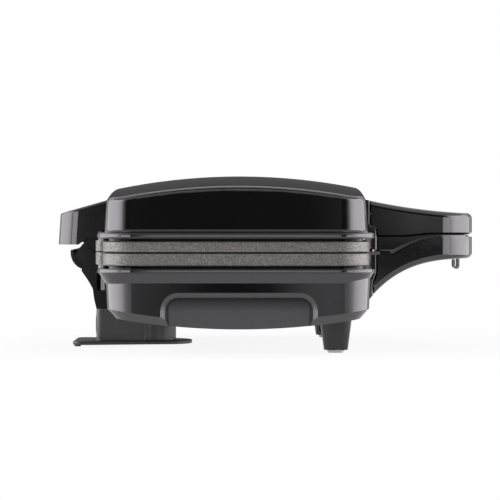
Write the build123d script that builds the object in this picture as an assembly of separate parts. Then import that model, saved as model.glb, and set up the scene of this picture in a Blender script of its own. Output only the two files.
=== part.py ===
from build123d import *
import os
from math import cos, hypot, radians, sin, tan

os.makedirs("parts", exist_ok=True)

# Sandwich maker: the hinge lies towards -X, the handles towards +X, and the part is even about Y = 0.
# The origin is on the surface it stands on, below the middle of its outer box. Millimetres.

# Plan of the body, shared by both halves
BODY_X = -18.0
PLATE_LENGTH = 152.0
PLATE_WIDTH = 227.0
PLATE_CORNER = 16.5
SIDE_LAND = 8.0
END_LAND = 12.0
BREAD_GAP = 13.0
BREAD_LENGTH = PLATE_LENGTH - 2 * END_LAND
BREAD_WIDTH = (PLATE_WIDTH - BREAD_GAP) / 2 - SIDE_LAND
RIM_REACH = 3.2
RIM_LENGTH = PLATE_LENGTH + 2 * RIM_REACH
RIM_WIDTH = PLATE_WIDTH + 2 * RIM_REACH
RIM_CORNER = PLATE_CORNER + RIM_REACH
WALL_STEP = 4.0
WALL_LENGTH = RIM_LENGTH - 2 * WALL_STEP
WALL_WIDTH = RIM_WIDTH - 2 * WALL_STEP
WALL_CORNER = RIM_CORNER - WALL_STEP
BASE_LENGTH = WALL_LENGTH + 1.4
BASE_X = BODY_X + 1.1
SHELL = 2.3
SEAT_GAP = 0.3

# Fronts and backs that the handles and the hinge are fitted to
WALL_FRONT_X = BODY_X + WALL_LENGTH / 2
BASE_FRONT_X = BASE_X + BASE_LENGTH / 2
RIM_FRONT_X = BODY_X + RIM_LENGTH / 2
PLATE_FRONT_X = BODY_X + PLATE_LENGTH / 2
RIM_REAR_X = BODY_X - RIM_LENGTH / 2
REAR_PAD_X = BODY_X - WALL_LENGTH / 2 - 0.3

# Heights, counted from the surface it stands on
PARTING_Z = 57.8
PLATE_GAP = 0.6
UPPER_RIM_HEIGHT = 6.2
LOWER_RIM_HEIGHT = 7.2
SHADOW_GAP = 1.5
UPPER_PLATE_FACE = PARTING_Z + PLATE_GAP / 2
LOWER_PLATE_FACE = PARTING_Z - PLATE_GAP / 2
UPPER_RIM_Z = UPPER_PLATE_FACE + UPPER_RIM_HEIGHT + SHADOW_GAP
LOWER_RIM_Z = LOWER_PLATE_FACE - LOWER_RIM_HEIGHT - SHADOW_GAP
UPPER_RIM_THICK = 3.4
LOWER_RIM_THICK = 2.6
UPPER_RIM_ROUND = 1.19
LOWER_RIM_ROUND = 0.78

# Lid: drafted walls under a crown that curves both ways
CROWN_Z = 102.4
CROWN_X = -16.5
CROWN_RADIUS_X = 361.0
CROWN_RADIUS_Y = 871.0
LID_DRAFT = 3.5
CROWN_SPREAD = 12.0
CROWN_EDGE = 3.2
UPPER_COVE = 2.4

# Base: drafted walls, a belly curved along X and a broad chamfer below
BELLY_Z = 14.2
BELLY_X = -16.3
BELLY_RADIUS = 400.0
BASE_DRAFT = 3.0
BELLY_CHAMFER = 4.8
LOWER_SKIRT_INSET = 0.9
LOWER_SKIRT = 6.0
LOWER_SKIRT_DRAFT = 32.4

# Scooped recess in each side of the base: a bevelled lip round a face that leans inwards
SCOOP_WIDTH = 88.8
SCOOP_TOP_Z = 35.2
SCOOP_CORNER = 10.0
SCOOP_LIP = 1.5
SCOOP_LIP_DRAFT = 58.0
SCOOP_DEPTH = 3.3
SCOOP_DRAFT = 22.0
SCOOP_LEAN = 8.0

# Ribs of the housings that stand inside the plates' skirts
RIB_THICK = 1.6
RIB_REACH = 1.5
RIB_ROOT = 2.5

# Cooking plates: two bread places side by side, each crossed by one ridge
PLATE_SKIN = 2.6
PLATE_SKIRT = 3.0
PLATE_EDGE = 0.8
CUT_RIDGE = 6.0
POCKET_DEPTH = 10.0
POCKET_DRAFT = 22.0
POCKET_CORNER = 7.0
POCKET_WALL = 2.0
LUG_Y = PLATE_WIDTH / 2 - 50.5
LUG_RADIUS = 4.6
LUG_EAR_RADIUS = 3.4
LUG_X = BODY_X - PLATE_LENGTH / 2 - 1.6
POST_X = PLATE_LENGTH / 2 - 10.5
POST_Y = PLATE_WIDTH / 2 - 35.5
POST_RADIUS = 2.9
TONGUE_Y = 40.0
TONGUE_WIDTH = 9.0
TONGUE_REACH = 8.6
TONGUE_THICK = 2.0

# Tubular heaters, pressed half into a cast rail on the back of each plate
HEATER_RADIUS = 3.25
HEATER_FIT = 0.05
HEATER_REAR = PLATE_LENGTH / 2 - 24.0
HEATER_FRONT = PLATE_LENGTH / 2 - 34.0
HEATER_HALF = PLATE_WIDTH / 2 - 47.5
HEATER_BEND = 20.0
HEATER_RISE = 3.5
RAIL_WIDTH = 9.4
TERMINAL_RADIUS = 1.4
TERMINAL_LENGTH = 9.0

# Heat shields
SHIELD_THICK = 0.8
SHIELD_DROP = 2.2
SHIELD_WIDTH = WALL_WIDTH - 27.4
SHIELD_CORNER = 12.0
SHIELD_LIP = 2.4
PILLAR_HALF = 3.6
SHIELD_LENGTH = 2 * (POST_X + PILLAR_HALF + SEAT_GAP)

# Rear hinge
HINGE_X = RIM_REAR_X - 9.0
HINGE_Z = 55.6
PIN_COVER = 1.5
PIN_RADIUS = 2.0
PIN_FIT = 0.05
KNUCKLE_RADIUS = 6.2
CRADLE_X = HINGE_X + 0.8
CRADLE_Z = HINGE_Z + 1.3
CRADLE_RADIUS = 10.2
CRADLE_WALL = 1.9
CRADLE_HALF = 53.5
CRADLE_FOOT_Z = 23.9
CRADLE_BRIM_REAR = 3.4
CRADLE_BRIM_FRONT = -3.2
TAIL_LINE = ((-4.0, -10.4), (0.2, -16.6), (2.8, -21.2), (3.6, -27.4))
TAIL_FOOT = 5.0
TAIL_TOP = -4.4
NOTCH_DEPTH = 6.0
EAR_RECESS = 1.8
EAR_THICK = 4.0
ARM_THICK = 9.6
ARM_GAP = 0.3
COVER_HALF = 56.0
COVER_REAR_X = HINGE_X - 17.0
COVER_BOTTOM_Z = 61.7
COVER_TOP_Z = 79.8
COVER_FRONT_Z = 88.0
COVER_CORNER = 11.0
COVER_WALL = 1.9

# Handles
TIP_X = RIM_FRONT_X + 62.0
HANDLE_ROOT_HALF = 47.0
HANDLE_TIP_HALF = 40.0
HANDLE_TIP_CORNER = 21.0
HANDLE_WALL = 2.2
COLLAR_REACH = 3.8
COLLAR_INSET = 0.8
COLLAR_ROUND = 1.1
COLLAR_BEND = 2.4
SEAM_GAP = 0.5
FRONT_SLOPE = 0.4
HANDLE_EDGE = 3.4
CREASE_CHAMFER = 1.3

# Latch
LATCH_PIVOT_X = TIP_X - 8.8
LATCH_PIVOT_Z = 73.0
LATCH_PIN_RADIUS = 1.5
LATCH_THICK = 1.2
LATCH_WIDTH = 12.0
LATCH_BOTTOM_Z = 46.2
LATCH_HOOK = 2.6
LATCH_BARB_Z = 51.9
LATCH_SLOT_AHEAD = 1.2
LATCH_SLOT_BEHIND = 0.8
LATCH_SLOT_SIDE = 0.6

# Feet and cord store
FOOT_X = RIM_FRONT_X - 22.0
FOOT_Y = PLATE_WIDTH / 2 - 28.5
FOOT_LENGTH = 13.6
FOOT_WIDTH = 13.0
FOOT_CORNER = 2.8
FOOT_DRAFT = 7.5
FOOT_WALL = 2.0
FOOT_FLOOR = 2.5
FOOT_PAD_EDGE = 0.7
PAD_HEIGHT = 1.8
PAD_RADIUS = 4.8
STORE_REAR_X = HINGE_X - 10.5
STORE_FRONT_X = HINGE_X + 60.8
STORE_HALF = 26.0
STORE_NOSE = 16.0
STORE_BOTTOM_Z = 0.9
STORE_THICK = 2.3
COLUMN_REAR_X = HINGE_X + 3.2
COLUMN_BLOCK_X = HINGE_X + 34.2
COLUMN_HALF = 16.0
COLUMN_NOSE = 14.5
COLUMN_FRONT_X = HINGE_X + 51.0
COLUMN_WALL = 2.2
COLUMN_GROOVE = 1.2

# Screws
SCREW_RADIUS = 1.5
SCREW_HEAD_RADIUS = 2.8
SCREW_HEAD = 1.8
SCREW_PLAY = 0.1
SCREW_SINK = 0.6
SCREW_REACH = 3.2
SCREW_SEAT = SHELL + 1.1

# Side outlines of the handles
HANDLE_BACK_X = WALL_FRONT_X - 5.2
LIP_END_X = RIM_FRONT_X + 13.3
CURVE_END_X = RIM_FRONT_X + 45.8
CURVE = ((0.0, 0.0), (0.185, 0.32), (0.43, 0.66), (0.71, 0.9), (1.0, 1.0))
LOWER_AHEAD = 0.4
UPPER_MIDDLE_X = RIM_FRONT_X + 29.6
UPPER_MIDDLE_Z = 82.5
CREASE_Z = 66.0
CREASE_TIP_Z = 67.4
CREASE_LEVEL = 7.5
CREASE_LEVEL_TIP = 11.0
UPPER_LIP_Z = 58.5
LOWER_LIP_Z = 55.3
LOWER_TIP_TOP_Z = 65.9
LOWER_TIP_BOTTOM_Z = 53.0
LOWER_SWEEP = ((5.8, 36.0), (17.7, 44.7), (29.6, 49.7), (42.8, 52.3))
UPPER_ROOT_TOP_Z = 88.6
UPPER_TIP_TOP_Z = 79.9
LOWER_ROOT_BOTTOM_Z = 27.0
LINER_INSET = 1.6
LINER_WALL = 2.0
LINER_PROUD = 1.1
ROOT_PAD_Z = 57.9
ROOT_PAD_BACK = 1.3
TIP_FLOOR_X = TIP_X - 25.2
HANDLE_SCREW_Y = 22.0
UPPER_HANDLE_SCREW_Z = 77.0
LOWER_HANDLE_SCREW_Z = 39.5
BOSS_RADIUS = 3.4
UPPER_BOSS = 12.0
LOWER_BOSS = 6.0
UPPER_BITE = 6.0
LOWER_BITE = 3.0
BORE_SPARE = 2.0

# Ears that carry the latch pin
LATCH_EAR_IN = LATCH_WIDTH / 2 + 0.3
LATCH_EAR_OUT = LATCH_EAR_IN + 3.5
LATCH_EAR_HALF = 3.2

# Along the hinge line: ears of the cradle and arms of the lid, from the outside in
EAR_OUT = CRADLE_HALF - EAR_RECESS
EAR_IN = EAR_OUT - EAR_THICK
ARM_OUT = EAR_IN - ARM_GAP
ARM_IN = ARM_OUT - ARM_THICK
INNER_EAR_OUT = ARM_IN - ARM_GAP
INNER_EAR_IN = INNER_EAR_OUT - EAR_THICK
EAR_RADIUS = 6.0
EAR_X = HINGE_X - 1.0
EAR_Z = HINGE_Z - 1.6
CORNER_POST_X = CRADLE_X + 4.7
CORNER_POST_IN = 45.0
CORNER_POST_OUT = 51.8
CORNER_POST_ROUND = 5.0
CORNER_POST_LOW_Z = 34.9
TAIL_POCKET = 14.0
TAIL_RIB = 2.0
TAIL_DEPTH_X = HINGE_X + 6.5
TAIL_POCKET_TOP_Z = HINGE_Z - 11.7
ARM_INNER_LINE = ((8.0, 2.4), (8.0, 15.0))
ARM_INNER_TOP = 17.2
ARM_OUTER_LINE = ((3.4, 10.4), (-0.6, 8.8), (-3.0, 6.0), (-5.6, 2.6))
ARM_PLATE = 3.4
ARM_JOG = 4.7
ARM_SCREW_ZS = (77.0, 81.2)
ARM_SCREW_HEAD = 2.0
ARM_SCREW_RADIUS = 1.2
ARM_SCREW_REACH = 2.4
COVER_STEP_Z = 65.6
COVER_TOP_EDGE = 1.6
COVER_LEAN = 1.2
COVER_STEP_BACK = 5.4
RIM_PLAY = ((0.0, -0.7), (0.9, 0.4), (3.0, 2.4))

# Details of the feet and the cord store
FOOT_RIB = 1.6
STORE_CORNER = 5.0
STORE_EDGE = 0.7
REAR_PAD_RADIUS = 1.9
COLUMN_CORNER = 3.0
STORE_SCREW_XS = (HINGE_X + 18.2, HINGE_X + 40.2)
STORE_PILLAR = 3.2
STORE_SCREW_Z = 0.3
STORE_SCREW_REACH = 8.0
GLAND_Z = 12.5
GLAND_RADIUS = 4.7
GLAND_BORE = 3.5
GLAND_LIP = 0.8
GLAND_FLANGE = 1.4

# Lamps, thermostat, fuse and terminals
LENS_X = RIM_FRONT_X + 18.8
LENS_Y = 11.0
LENS_LENGTH = 6.0
LENS_WIDTH = 10.0
LENS_FLANGE = 1.2
LENS_DEPTH = 3.2
LENS_PROUD = 0.25
LAMP_RADIUS = 2.4
LAMP_LENGTH = 5.4
HOLDER_WALL = 1.6
HOLDER_Z = 70.5
THERMOSTAT_RADIUS = 8.0
THERMOSTAT_HEIGHT = 6.5
THERMOSTAT_CUP = 3.9
THERMOSTAT_TAB = 3.0
THERMOSTAT_BLADE = 13.0
THERMOSTAT_X = 20.0
THERMOSTAT_Y = -34.0
FUSE_RADIUS = 2.2
FUSE_LENGTH = 18.0
FUSE_SEAT = 0.2
FUSE_LEAD = 4.0
FUSE_LEAD_RADIUS = 0.5
FUSE_X = -45.0
FUSE_Y = 36.0
TERMINAL_X = BODY_X - 44.0
TERMINAL_SIZE = (16.0, 34.0, 11.0)
TERMINAL_SEAT_Z = 23.5
TERMINAL_SEAT_RADIUS = 3.0
TERMINAL_BORE = 1.6

DOWN = (0, 0, -1)


def at_height(z, facing=(0, 0, 1), x=BODY_X, y=0.0):
    """A sketch plane at a height, with the part's X along its own X."""
    return Plane(origin=(x, y, z), x_dir=(1, 0, 0), z_dir=facing)


def rounded_prism(z, rise, length, width, corner, draft=0.0, x=BODY_X):
    """A rounded rectangle drawn at one height and raised, or sunk where rise is negative."""
    plane = at_height(z, DOWN if rise < 0 else (0, 0, 1), x)
    return extrude(plane * RectangleRounded(length, width, corner), amount=abs(rise), taper=draft)


def block(x, y, z):
    """A plain block between pairs of limits."""
    size = Vector(x[1] - x[0], y[1] - y[0], z[1] - z[0])
    middle = Vector(x[0] + x[1], y[0] + y[1], z[0] + z[1]) / 2
    return Pos(*middle) * Box(size.X, size.Y, size.Z)


def side_profile(points, half_width, y=0.0):
    """An outline in X and Z, made solid across Y."""
    face = make_face(Polyline(*[(px, y, pz) for px, pz in points], close=True))
    return extrude(face, amount=half_width, dir=(0, 1, 0), both=True)


def rod(start, radius, length, direction=(0, 0, 1)):
    """A round bar from a point, along a direction."""
    return extrude(Plane(origin=start, z_dir=direction) * Circle(radius), amount=length)


def cross_rod(x, z, radius, y0, y1):
    """A round bar that lies along Y."""
    return rod((x, y0, z), radius, y1 - y0, (0, 1, 0))


def both_sides(solid):
    """A solid and its mirror image across the middle of the part."""
    return [solid, mirror(solid, about=Plane.XZ)]


def joined(base, others):
    """One solid made of a base and all that is added to it."""
    for other in others:
        base = base + other
    return base


def cut_away(base, others):
    """A base with all the others taken out of it."""
    for other in others:
        base = base - other
    return base


def save(name, shape):
    """Write one node, as one solid or as a group of separate solids."""
    solids = shape.solids() if hasattr(shape, "solids") else [s for part in shape for s in part.solids()]
    piece = solids[0] if len(solids) == 1 else Compound(children=list(solids))
    piece.label = name
    export_step(piece, f"parts/{name}.step")
    return piece


# Housings

def crown(drop=0.0):
    """Everything under the lid's crown, curved along X and along Y."""
    half = RIM_LENGTH
    radius_x = CROWN_RADIUS_X - drop
    top = CROWN_Z - drop
    edge = top - (radius_x - (radius_x ** 2 - half ** 2) ** 0.5)
    arc = ThreePointArc((CROWN_X - half, 0, edge), (CROWN_X, 0, top), (CROWN_X + half, 0, edge))
    base = PARTING_Z - RIM_WIDTH / 2
    sides = Polyline((CROWN_X + half, 0, edge), (CROWN_X + half, 0, base), (CROWN_X - half, 0, base),
                     (CROWN_X - half, 0, edge))
    turn_axis = Axis((0, 0, CROWN_Z - CROWN_RADIUS_Y), (1, 0, 0))
    face = make_face([arc, sides]).rotate(turn_axis, -CROWN_SPREAD)
    return revolve(face, axis=turn_axis, revolution_arc=2 * CROWN_SPREAD)


def belly(rise=0.0):
    """Everything above the base's belly, curved along X and straight along Y."""
    half = RIM_LENGTH
    radius = BELLY_RADIUS - rise
    low = BELLY_Z + rise
    edge = low + radius - (radius ** 2 - half ** 2) ** 0.5
    arc = ThreePointArc((BELLY_X - half, 0, edge), (BELLY_X, 0, low), (BELLY_X + half, 0, edge))
    sides = Polyline((BELLY_X + half, 0, edge), (BELLY_X + half, 0, PARTING_Z + RIM_WIDTH),
                     (BELLY_X - half, 0, PARTING_Z + RIM_WIDTH), (BELLY_X - half, 0, edge))
    return extrude(make_face([arc, sides]), amount=RIM_WIDTH, dir=(0, 1, 0), both=True)


def highest_face(solid):
    return solid.faces().sort_by(Axis.Z)[-1]


def lowest_face(solid):
    return solid.faces().sort_by(Axis.Z)[0]


def edges_at(solid, z, inside_x, centre_x=BODY_X):
    """Edges that lie flat at one height, inside a half-length from the middle of the body."""
    flat = [e for e in solid.edges() if abs(e.bounding_box().min.Z - z) < 0.01
            and abs(e.bounding_box().max.Z - z) < 0.01]
    return [e for e in flat if abs(e.center().X - centre_x) < inside_x
            and abs(e.center().Y) < inside_x + (WALL_WIDTH - WALL_LENGTH) / 2]


def ring_rib(rim_z, way, length, width, corner, x):
    """A ledge inside a housing's wall, and the rib on it that stands inside the plate's skirt."""
    play = PLATE_SKIRT + SEAT_GAP
    rib_size = (PLATE_LENGTH - 2 * play, PLATE_WIDTH - 2 * play, PLATE_CORNER - play)
    room_size = (rib_size[0] - 2 * RIB_THICK, rib_size[1] - 2 * RIB_THICK, rib_size[2] - RIB_THICK)
    low = rim_z - way * (SHADOW_GAP + RIB_REACH)
    tall = SHADOW_GAP + RIB_REACH + RIB_ROOT
    ledge = rounded_prism(rim_z, way * RIB_ROOT, length - SHELL, width - SHELL, corner - SHELL / 2, x=x)
    rib = rounded_prism(low, way * tall, *rib_size) - rounded_prism(low, way * tall, *room_size)
    half = LUG_RADIUS + SEAT_GAP
    lugs = [block((LUG_X, LUG_X + 2 * LUG_RADIUS + SEAT_GAP), (sign * LUG_Y - half, sign * LUG_Y + half),
                  sorted((low, rim_z - way * SEAT_GAP))) for sign in (-1, 1)]
    return cut_away((ledge - rounded_prism(low, way * tall, *room_size)) + rib, lugs)


def lid_form():
    """The lid's outer form, with its rim and the cove above it."""
    tall = CROWN_Z - UPPER_RIM_Z
    walls = rounded_prism(UPPER_RIM_Z, tall, WALL_LENGTH, WALL_WIDTH, WALL_CORNER, LID_DRAFT) & crown()
    walls = fillet(highest_face(walls).edges(), CROWN_EDGE)
    rim = rounded_prism(UPPER_RIM_Z, UPPER_RIM_THICK, RIM_LENGTH, RIM_WIDTH, RIM_CORNER)
    rim = fillet(highest_face(rim).edges() + lowest_face(rim).edges(), UPPER_RIM_ROUND)
    form = walls + rim
    corner = edges_at(form, UPPER_RIM_Z + UPPER_RIM_THICK, WALL_LENGTH / 2 + 0.2)
    return fillet(corner, UPPER_COVE)


def lid_room():
    """The hollow of the lid."""
    room = rounded_prism(UPPER_RIM_Z - 1, CROWN_Z - UPPER_RIM_Z, WALL_LENGTH - 2 * SHELL,
                         WALL_WIDTH - 2 * SHELL, WALL_CORNER - SHELL, LID_DRAFT)
    return room & crown(SHELL)


def scoop(grow=0.0):
    """The recess in the near side of the base, drawn on the drafted wall and open below."""
    lean = radians(BASE_DRAFT)
    wall = Plane(origin=(BELLY_X, -WALL_WIDTH / 2, LOWER_RIM_Z), x_dir=(1, 0, 0),
                 z_dir=(0, cos(lean), sin(lean)))
    tall = 2 * (SCOOP_TOP_Z / cos(lean) + grow)
    outline = RectangleRounded(SCOOP_WIDTH + 2 * grow, tall, SCOOP_CORNER + grow)
    outline = Pos(0, LOWER_RIM_Z / cos(lean)) * outline
    lip = extrude(wall * outline, amount=SCOOP_LIP, taper=SCOOP_LIP_DRAFT)
    outside = extrude(wall * outline, amount=-SCOOP_LIP)
    inset = SCOOP_LIP * tan(radians(SCOOP_LIP_DRAFT))
    inner = offset(outline, -inset)
    core = extrude(wall * inner, amount=WALL_CORNER, taper=SCOOP_DRAFT) & before_scoop_face(grow)
    return lip + outside + core


def before_scoop_face(grow):
    """Everything in front of the recess's leaning face."""
    top = SCOOP_TOP_Z
    slope = tan(radians(BASE_DRAFT))
    wall_y = -(WALL_WIDTH / 2 - slope * (LOWER_RIM_Z - top))
    face_y = wall_y + SCOOP_DEPTH + grow
    rise = top * tan(radians(BASE_DRAFT + SCOOP_LEAN))
    outside_y = -WALL_WIDTH
    corners = [(0, outside_y, 0), (0, face_y + rise, 0), (0, face_y - rise, 2 * top), (0, outside_y, 2 * top)]
    return extrude(make_face(Polyline(*corners, close=True)), amount=WALL_LENGTH, dir=(1, 0, 0), both=True)


def base_form():
    """The base's outer form: rim, tapered skirt below it, drafted walls, belly and side recesses."""
    deep = LOWER_RIM_Z - BELLY_Z
    walls = rounded_prism(LOWER_RIM_Z, -deep, BASE_LENGTH, WALL_WIDTH, WALL_CORNER, BASE_DRAFT, BASE_X)
    walls = walls & belly()
    walls = chamfer(lowest_face(walls).edges(), BELLY_CHAMFER)
    rim = rounded_prism(LOWER_RIM_Z, -LOWER_RIM_THICK, RIM_LENGTH, RIM_WIDTH, RIM_CORNER)
    rim = fillet(highest_face(rim).edges() + lowest_face(rim).edges(), LOWER_RIM_ROUND)
    inset = 2 * LOWER_SKIRT_INSET
    skirt = rounded_prism(LOWER_RIM_Z - LOWER_RIM_THICK, -LOWER_SKIRT, RIM_LENGTH - inset, RIM_WIDTH - inset,
                          RIM_CORNER - LOWER_SKIRT_INSET, LOWER_SKIRT_DRAFT)
    return cut_away(walls + rim + skirt, both_sides(scoop()))


def base_room():
    """The hollow of the base, which stays a wall's thickness clear of the recesses."""
    deep = LOWER_RIM_Z - BELLY_Z
    room = rounded_prism(LOWER_RIM_Z + 1, -deep, BASE_LENGTH - 2 * SHELL,
                         WALL_WIDTH - 2 * SHELL, WALL_CORNER - SHELL, BASE_DRAFT, BASE_X)
    room = room & belly(SHELL)
    room = chamfer(lowest_face(room).edges(), BELLY_CHAMFER)
    return cut_away(room, both_sides(scoop(SHELL)))


# Cooking plates

def plate_side(upper):
    """Parting face height, growth direction and rim height of one plate."""
    if upper:
        return UPPER_PLATE_FACE, 1, UPPER_RIM_HEIGHT
    return LOWER_PLATE_FACE, -1, LOWER_RIM_HEIGHT


def bread_triangles():
    """Corner points of the four pockets, two each side of the middle, mirrored about Y = 0."""
    a = BREAD_LENGTH / 2
    b = BREAD_WIDTH / 2
    slant = hypot(a, b)
    ridge = CUT_RIDGE / 2
    back_x = ridge * slant / b
    back_y = ridge * slant / a
    first = [(-a + back_x, -b), (a, -b), (a, b - back_y)]
    second = [(-x, -y) for x, y in first]
    places = []
    for corners in (first, second):
        near = [(x, y - (BREAD_WIDTH + BREAD_GAP) / 2) for x, y in corners]
        places.append(near)
        places.append([(x, -y) for x, y in reversed(near)])
    return places


def pockets(upper, grow=0.0):
    """The four pockets as solids, or the metal round them where grow is more than zero."""
    face_z, way, _ = plate_side(upper)
    solids = []
    for corners in bread_triangles():
        outline = fillet(make_face(Polyline(*corners, close=True)).vertices(), POCKET_CORNER)
        if grow:
            outline = offset(outline, grow)
        plane = at_height(face_z, (0, 0, way)) if way > 0 else Plane((BODY_X, 0, face_z), (1, 0, 0), DOWN)
        drawn = plane * (outline if way > 0 else mirror(outline, about=Plane.XZ))
        solids.append(extrude(drawn, amount=POCKET_DEPTH + grow, taper=POCKET_DRAFT))
    return solids


def heater_line(z):
    """The heater's path: two legs from the rear, joined across the front."""
    rear = BODY_X - HEATER_REAR
    front = BODY_X + HEATER_FRONT
    corners = [(rear, -HEATER_HALF, z), (front, -HEATER_HALF, z), (front, HEATER_HALF, z),
               (rear, HEATER_HALF, z)]
    return FilletPolyline(*corners, radius=HEATER_BEND)


def heater_height(upper):
    face_z, way, _ = plate_side(upper)
    return face_z + way * (POCKET_DEPTH + POCKET_WALL + HEATER_RISE)


def shield_height(upper):
    """The face of the heat shield that looks at the heater."""
    way = 1 if upper else -1
    return heater_height(upper) + way * (HEATER_RADIUS + SHIELD_DROP)


def heater_tube(upper, radius):
    path = heater_line(heater_height(upper))
    start = Plane(origin=path @ 0, z_dir=path % 0)
    return sweep(start * Circle(radius), path=path)


def cooking_plate(upper):
    """A cast plate: rim, thin land, sunk pockets, heater rail, posts, rear lugs and front tongues."""
    face_z, way, rise = plate_side(upper)
    slab = rounded_prism(face_z, way * rise, PLATE_LENGTH, PLATE_WIDTH, PLATE_CORNER)
    slab = fillet(highest_face(slab).edges() + lowest_face(slab).edges(), PLATE_EDGE)
    hollow = rounded_prism(face_z + way * PLATE_SKIN, way * rise, PLATE_LENGTH - 2 * PLATE_SKIRT,
                           PLATE_WIDTH - 2 * PLATE_SKIRT, PLATE_CORNER - PLATE_SKIRT)
    plate = joined(slab - hollow, pockets(upper, POCKET_WALL))
    land_z = face_z + way * PLATE_SKIN / 2
    rail_face = trace(heater_line(land_z), RAIL_WIDTH)
    rail = extrude(rail_face, amount=abs(heater_height(upper) - land_z), dir=(0, 0, way))
    plate = plate + rail
    plate = joined(plate, plate_posts(upper, face_z, way))
    plate = joined(plate, plate_lugs(face_z, way, rise))
    plate = cut_away(plate, pockets(upper))
    plate = cut_away(plate, lug_bores(face_z, way, rise))
    if not upper:
        plate = joined(plate, front_tongues(face_z))
    return plate - heater_tube(upper, HEATER_RADIUS + HEATER_FIT)


def plate_posts(upper, face_z, way):
    """Cast posts that press the heat shield on to the housing's pillars."""
    start = face_z + way * PLATE_SKIN / 2
    length = abs(shield_height(upper) - start)
    return [rod((BODY_X + sx * POST_X, sy * POST_Y, start), POST_RADIUS, length, (0, 0, way))
            for sx in (-1, 1) for sy in (-1, 1)]


def plate_lugs(face_z, way, rise):
    """Two half-round lugs behind the plate, as tall as its rim."""
    lugs = []
    for sign in (-1, 1):
        y = sign * LUG_Y
        inner = block((LUG_X, LUG_X + 2 * LUG_RADIUS), (y - LUG_RADIUS, y + LUG_RADIUS),
                      sorted((face_z, face_z + way * rise)))
        lugs.append(rod((LUG_X, y, face_z), LUG_RADIUS, rise, (0, 0, way)) + inner)
    return lugs


def lug_bores(face_z, way, rise):
    """A hole with a sunk seat through each lug."""
    bores = []
    for sign in (-1, 1):
        start = (LUG_X, sign * LUG_Y, face_z)
        bores.append(rod(start, SCREW_RADIUS + SCREW_PLAY, rise, (0, 0, way)))
        bores.append(rod(start, SCREW_HEAD_RADIUS + SCREW_PLAY, SCREW_HEAD + SCREW_SINK, (0, 0, way)))
    return bores


def front_tongues(face_z):
    """Flat tongues that reach from the lower plate into the collar of the handle."""
    front = BODY_X + PLATE_LENGTH / 2
    return [block((front - PLATE_SKIRT, front + TONGUE_REACH),
                  (sign * TONGUE_Y - TONGUE_WIDTH / 2, sign * TONGUE_Y + TONGUE_WIDTH / 2),
                  (face_z - TONGUE_THICK, face_z)) for sign in (-1, 1)]


def screw(start, direction, shank, head_radius=SCREW_HEAD_RADIUS, radius=SCREW_RADIUS):
    """A pan-head screw with a cross recess; start is the top of the head."""
    head = rod(start, head_radius, SCREW_HEAD, direction)
    body = head + rod(start, radius, SCREW_HEAD + shank, direction)
    plane = Plane(origin=start, z_dir=direction)
    slot = head_radius * 1.2
    for wide, tall in ((slot, slot / 4), (slot / 4, slot)):
        body = body - extrude(plane * Rectangle(wide, tall), amount=SCREW_HEAD * 0.5)
    return body


def plate_screws(upper):
    """The two screws that hold a plate's lugs to the ears of its housing."""
    face_z, way, rise = plate_side(upper)
    head_top = face_z + way * SCREW_SINK
    shank = rise + SCREW_REACH - SCREW_HEAD - SCREW_SINK
    return [screw((LUG_X, sign * LUG_Y, head_top), (0, 0, way), shank) for sign in (-1, 1)]


def heater(upper):
    """A tubular heater with a thin terminal pin at each end."""
    tube = heater_tube(upper, HEATER_RADIUS)
    z = heater_height(upper)
    rear = BODY_X - HEATER_REAR
    for sign in (-1, 1):
        pin = rod((rear + TERMINAL_RADIUS, sign * HEATER_HALF, z), TERMINAL_RADIUS,
                  TERMINAL_LENGTH + TERMINAL_RADIUS, (-1, 0, 0))
        tube = tube + pin
    return tube


def heat_shield(upper):
    """A pressed sheet pan with a turned lip, clamped between the posts and the pillars."""
    way = 1 if upper else -1
    z = shield_height(upper)
    pan = rounded_prism(z, way * SHIELD_THICK, SHIELD_LENGTH, SHIELD_WIDTH, SHIELD_CORNER)
    lip = rounded_prism(z, -way * SHIELD_LIP, SHIELD_LENGTH, SHIELD_WIDTH, SHIELD_CORNER)
    inner = rounded_prism(z, -way * SHIELD_LIP, SHIELD_LENGTH - 2 * SHIELD_THICK,
                          SHIELD_WIDTH - 2 * SHIELD_THICK, SHIELD_CORNER - SHIELD_THICK)
    return pan + (lip - inner)


def housing_ears(rim_z, way, rim_thick):
    """Rounded ears that stand from the rim on to the plate's lugs."""
    lug_top = rim_z - way * SHADOW_GAP
    return [rod((LUG_X, sign * LUG_Y, lug_top), LUG_EAR_RADIUS, SHADOW_GAP + rim_thick, (0, 0, way))
            for sign in (-1, 1)]


def ear_bores(rim_z, way):
    """Blind holes in the ears for the ends of the plate's screws."""
    lug_top = rim_z - way * SHADOW_GAP
    return [rod((LUG_X, sign * LUG_Y, lug_top), SCREW_RADIUS, SCREW_REACH, (0, 0, way)) for sign in (-1, 1)]


# Handles


def handle_plan(inset=0.0):
    """The handle from above: sides that close in a little, and a broad round end."""
    root = HANDLE_ROOT_HALF - inset
    tip = HANDLE_TIP_HALF - inset
    front = TIP_X - inset
    face = make_face(Polyline((HANDLE_BACK_X, -root), (front, -tip), (front, tip), (HANDLE_BACK_X, root),
                              close=True))
    corners = face.vertices().filter_by(lambda v: v.X > front - 1)
    face = fillet(corners, HANDLE_TIP_CORNER - inset)
    return Pos(0, 0, -10) * extrude(face, amount=CROWN_Z + 20)


def across(edges):
    """Edges in the middle plane, closed and made solid right across the handle."""
    return extrude(make_face(edges), amount=HANDLE_ROOT_HALF + 5, dir=(0, 1, 0), both=True)


def bent(points):
    """A smooth line through points given in X and Z."""
    return Spline(*[(x, 0, z) for x, z in points])


def straight(points):
    return Polyline(*[(x, 0, z) for x, z in points])


def upper_top_points(drop=0.0):
    return [(HANDLE_BACK_X, UPPER_ROOT_TOP_Z + 1 - drop), (UPPER_MIDDLE_X, UPPER_MIDDLE_Z - drop),
            (TIP_X + 2, UPPER_TIP_TOP_Z - drop)]


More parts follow.
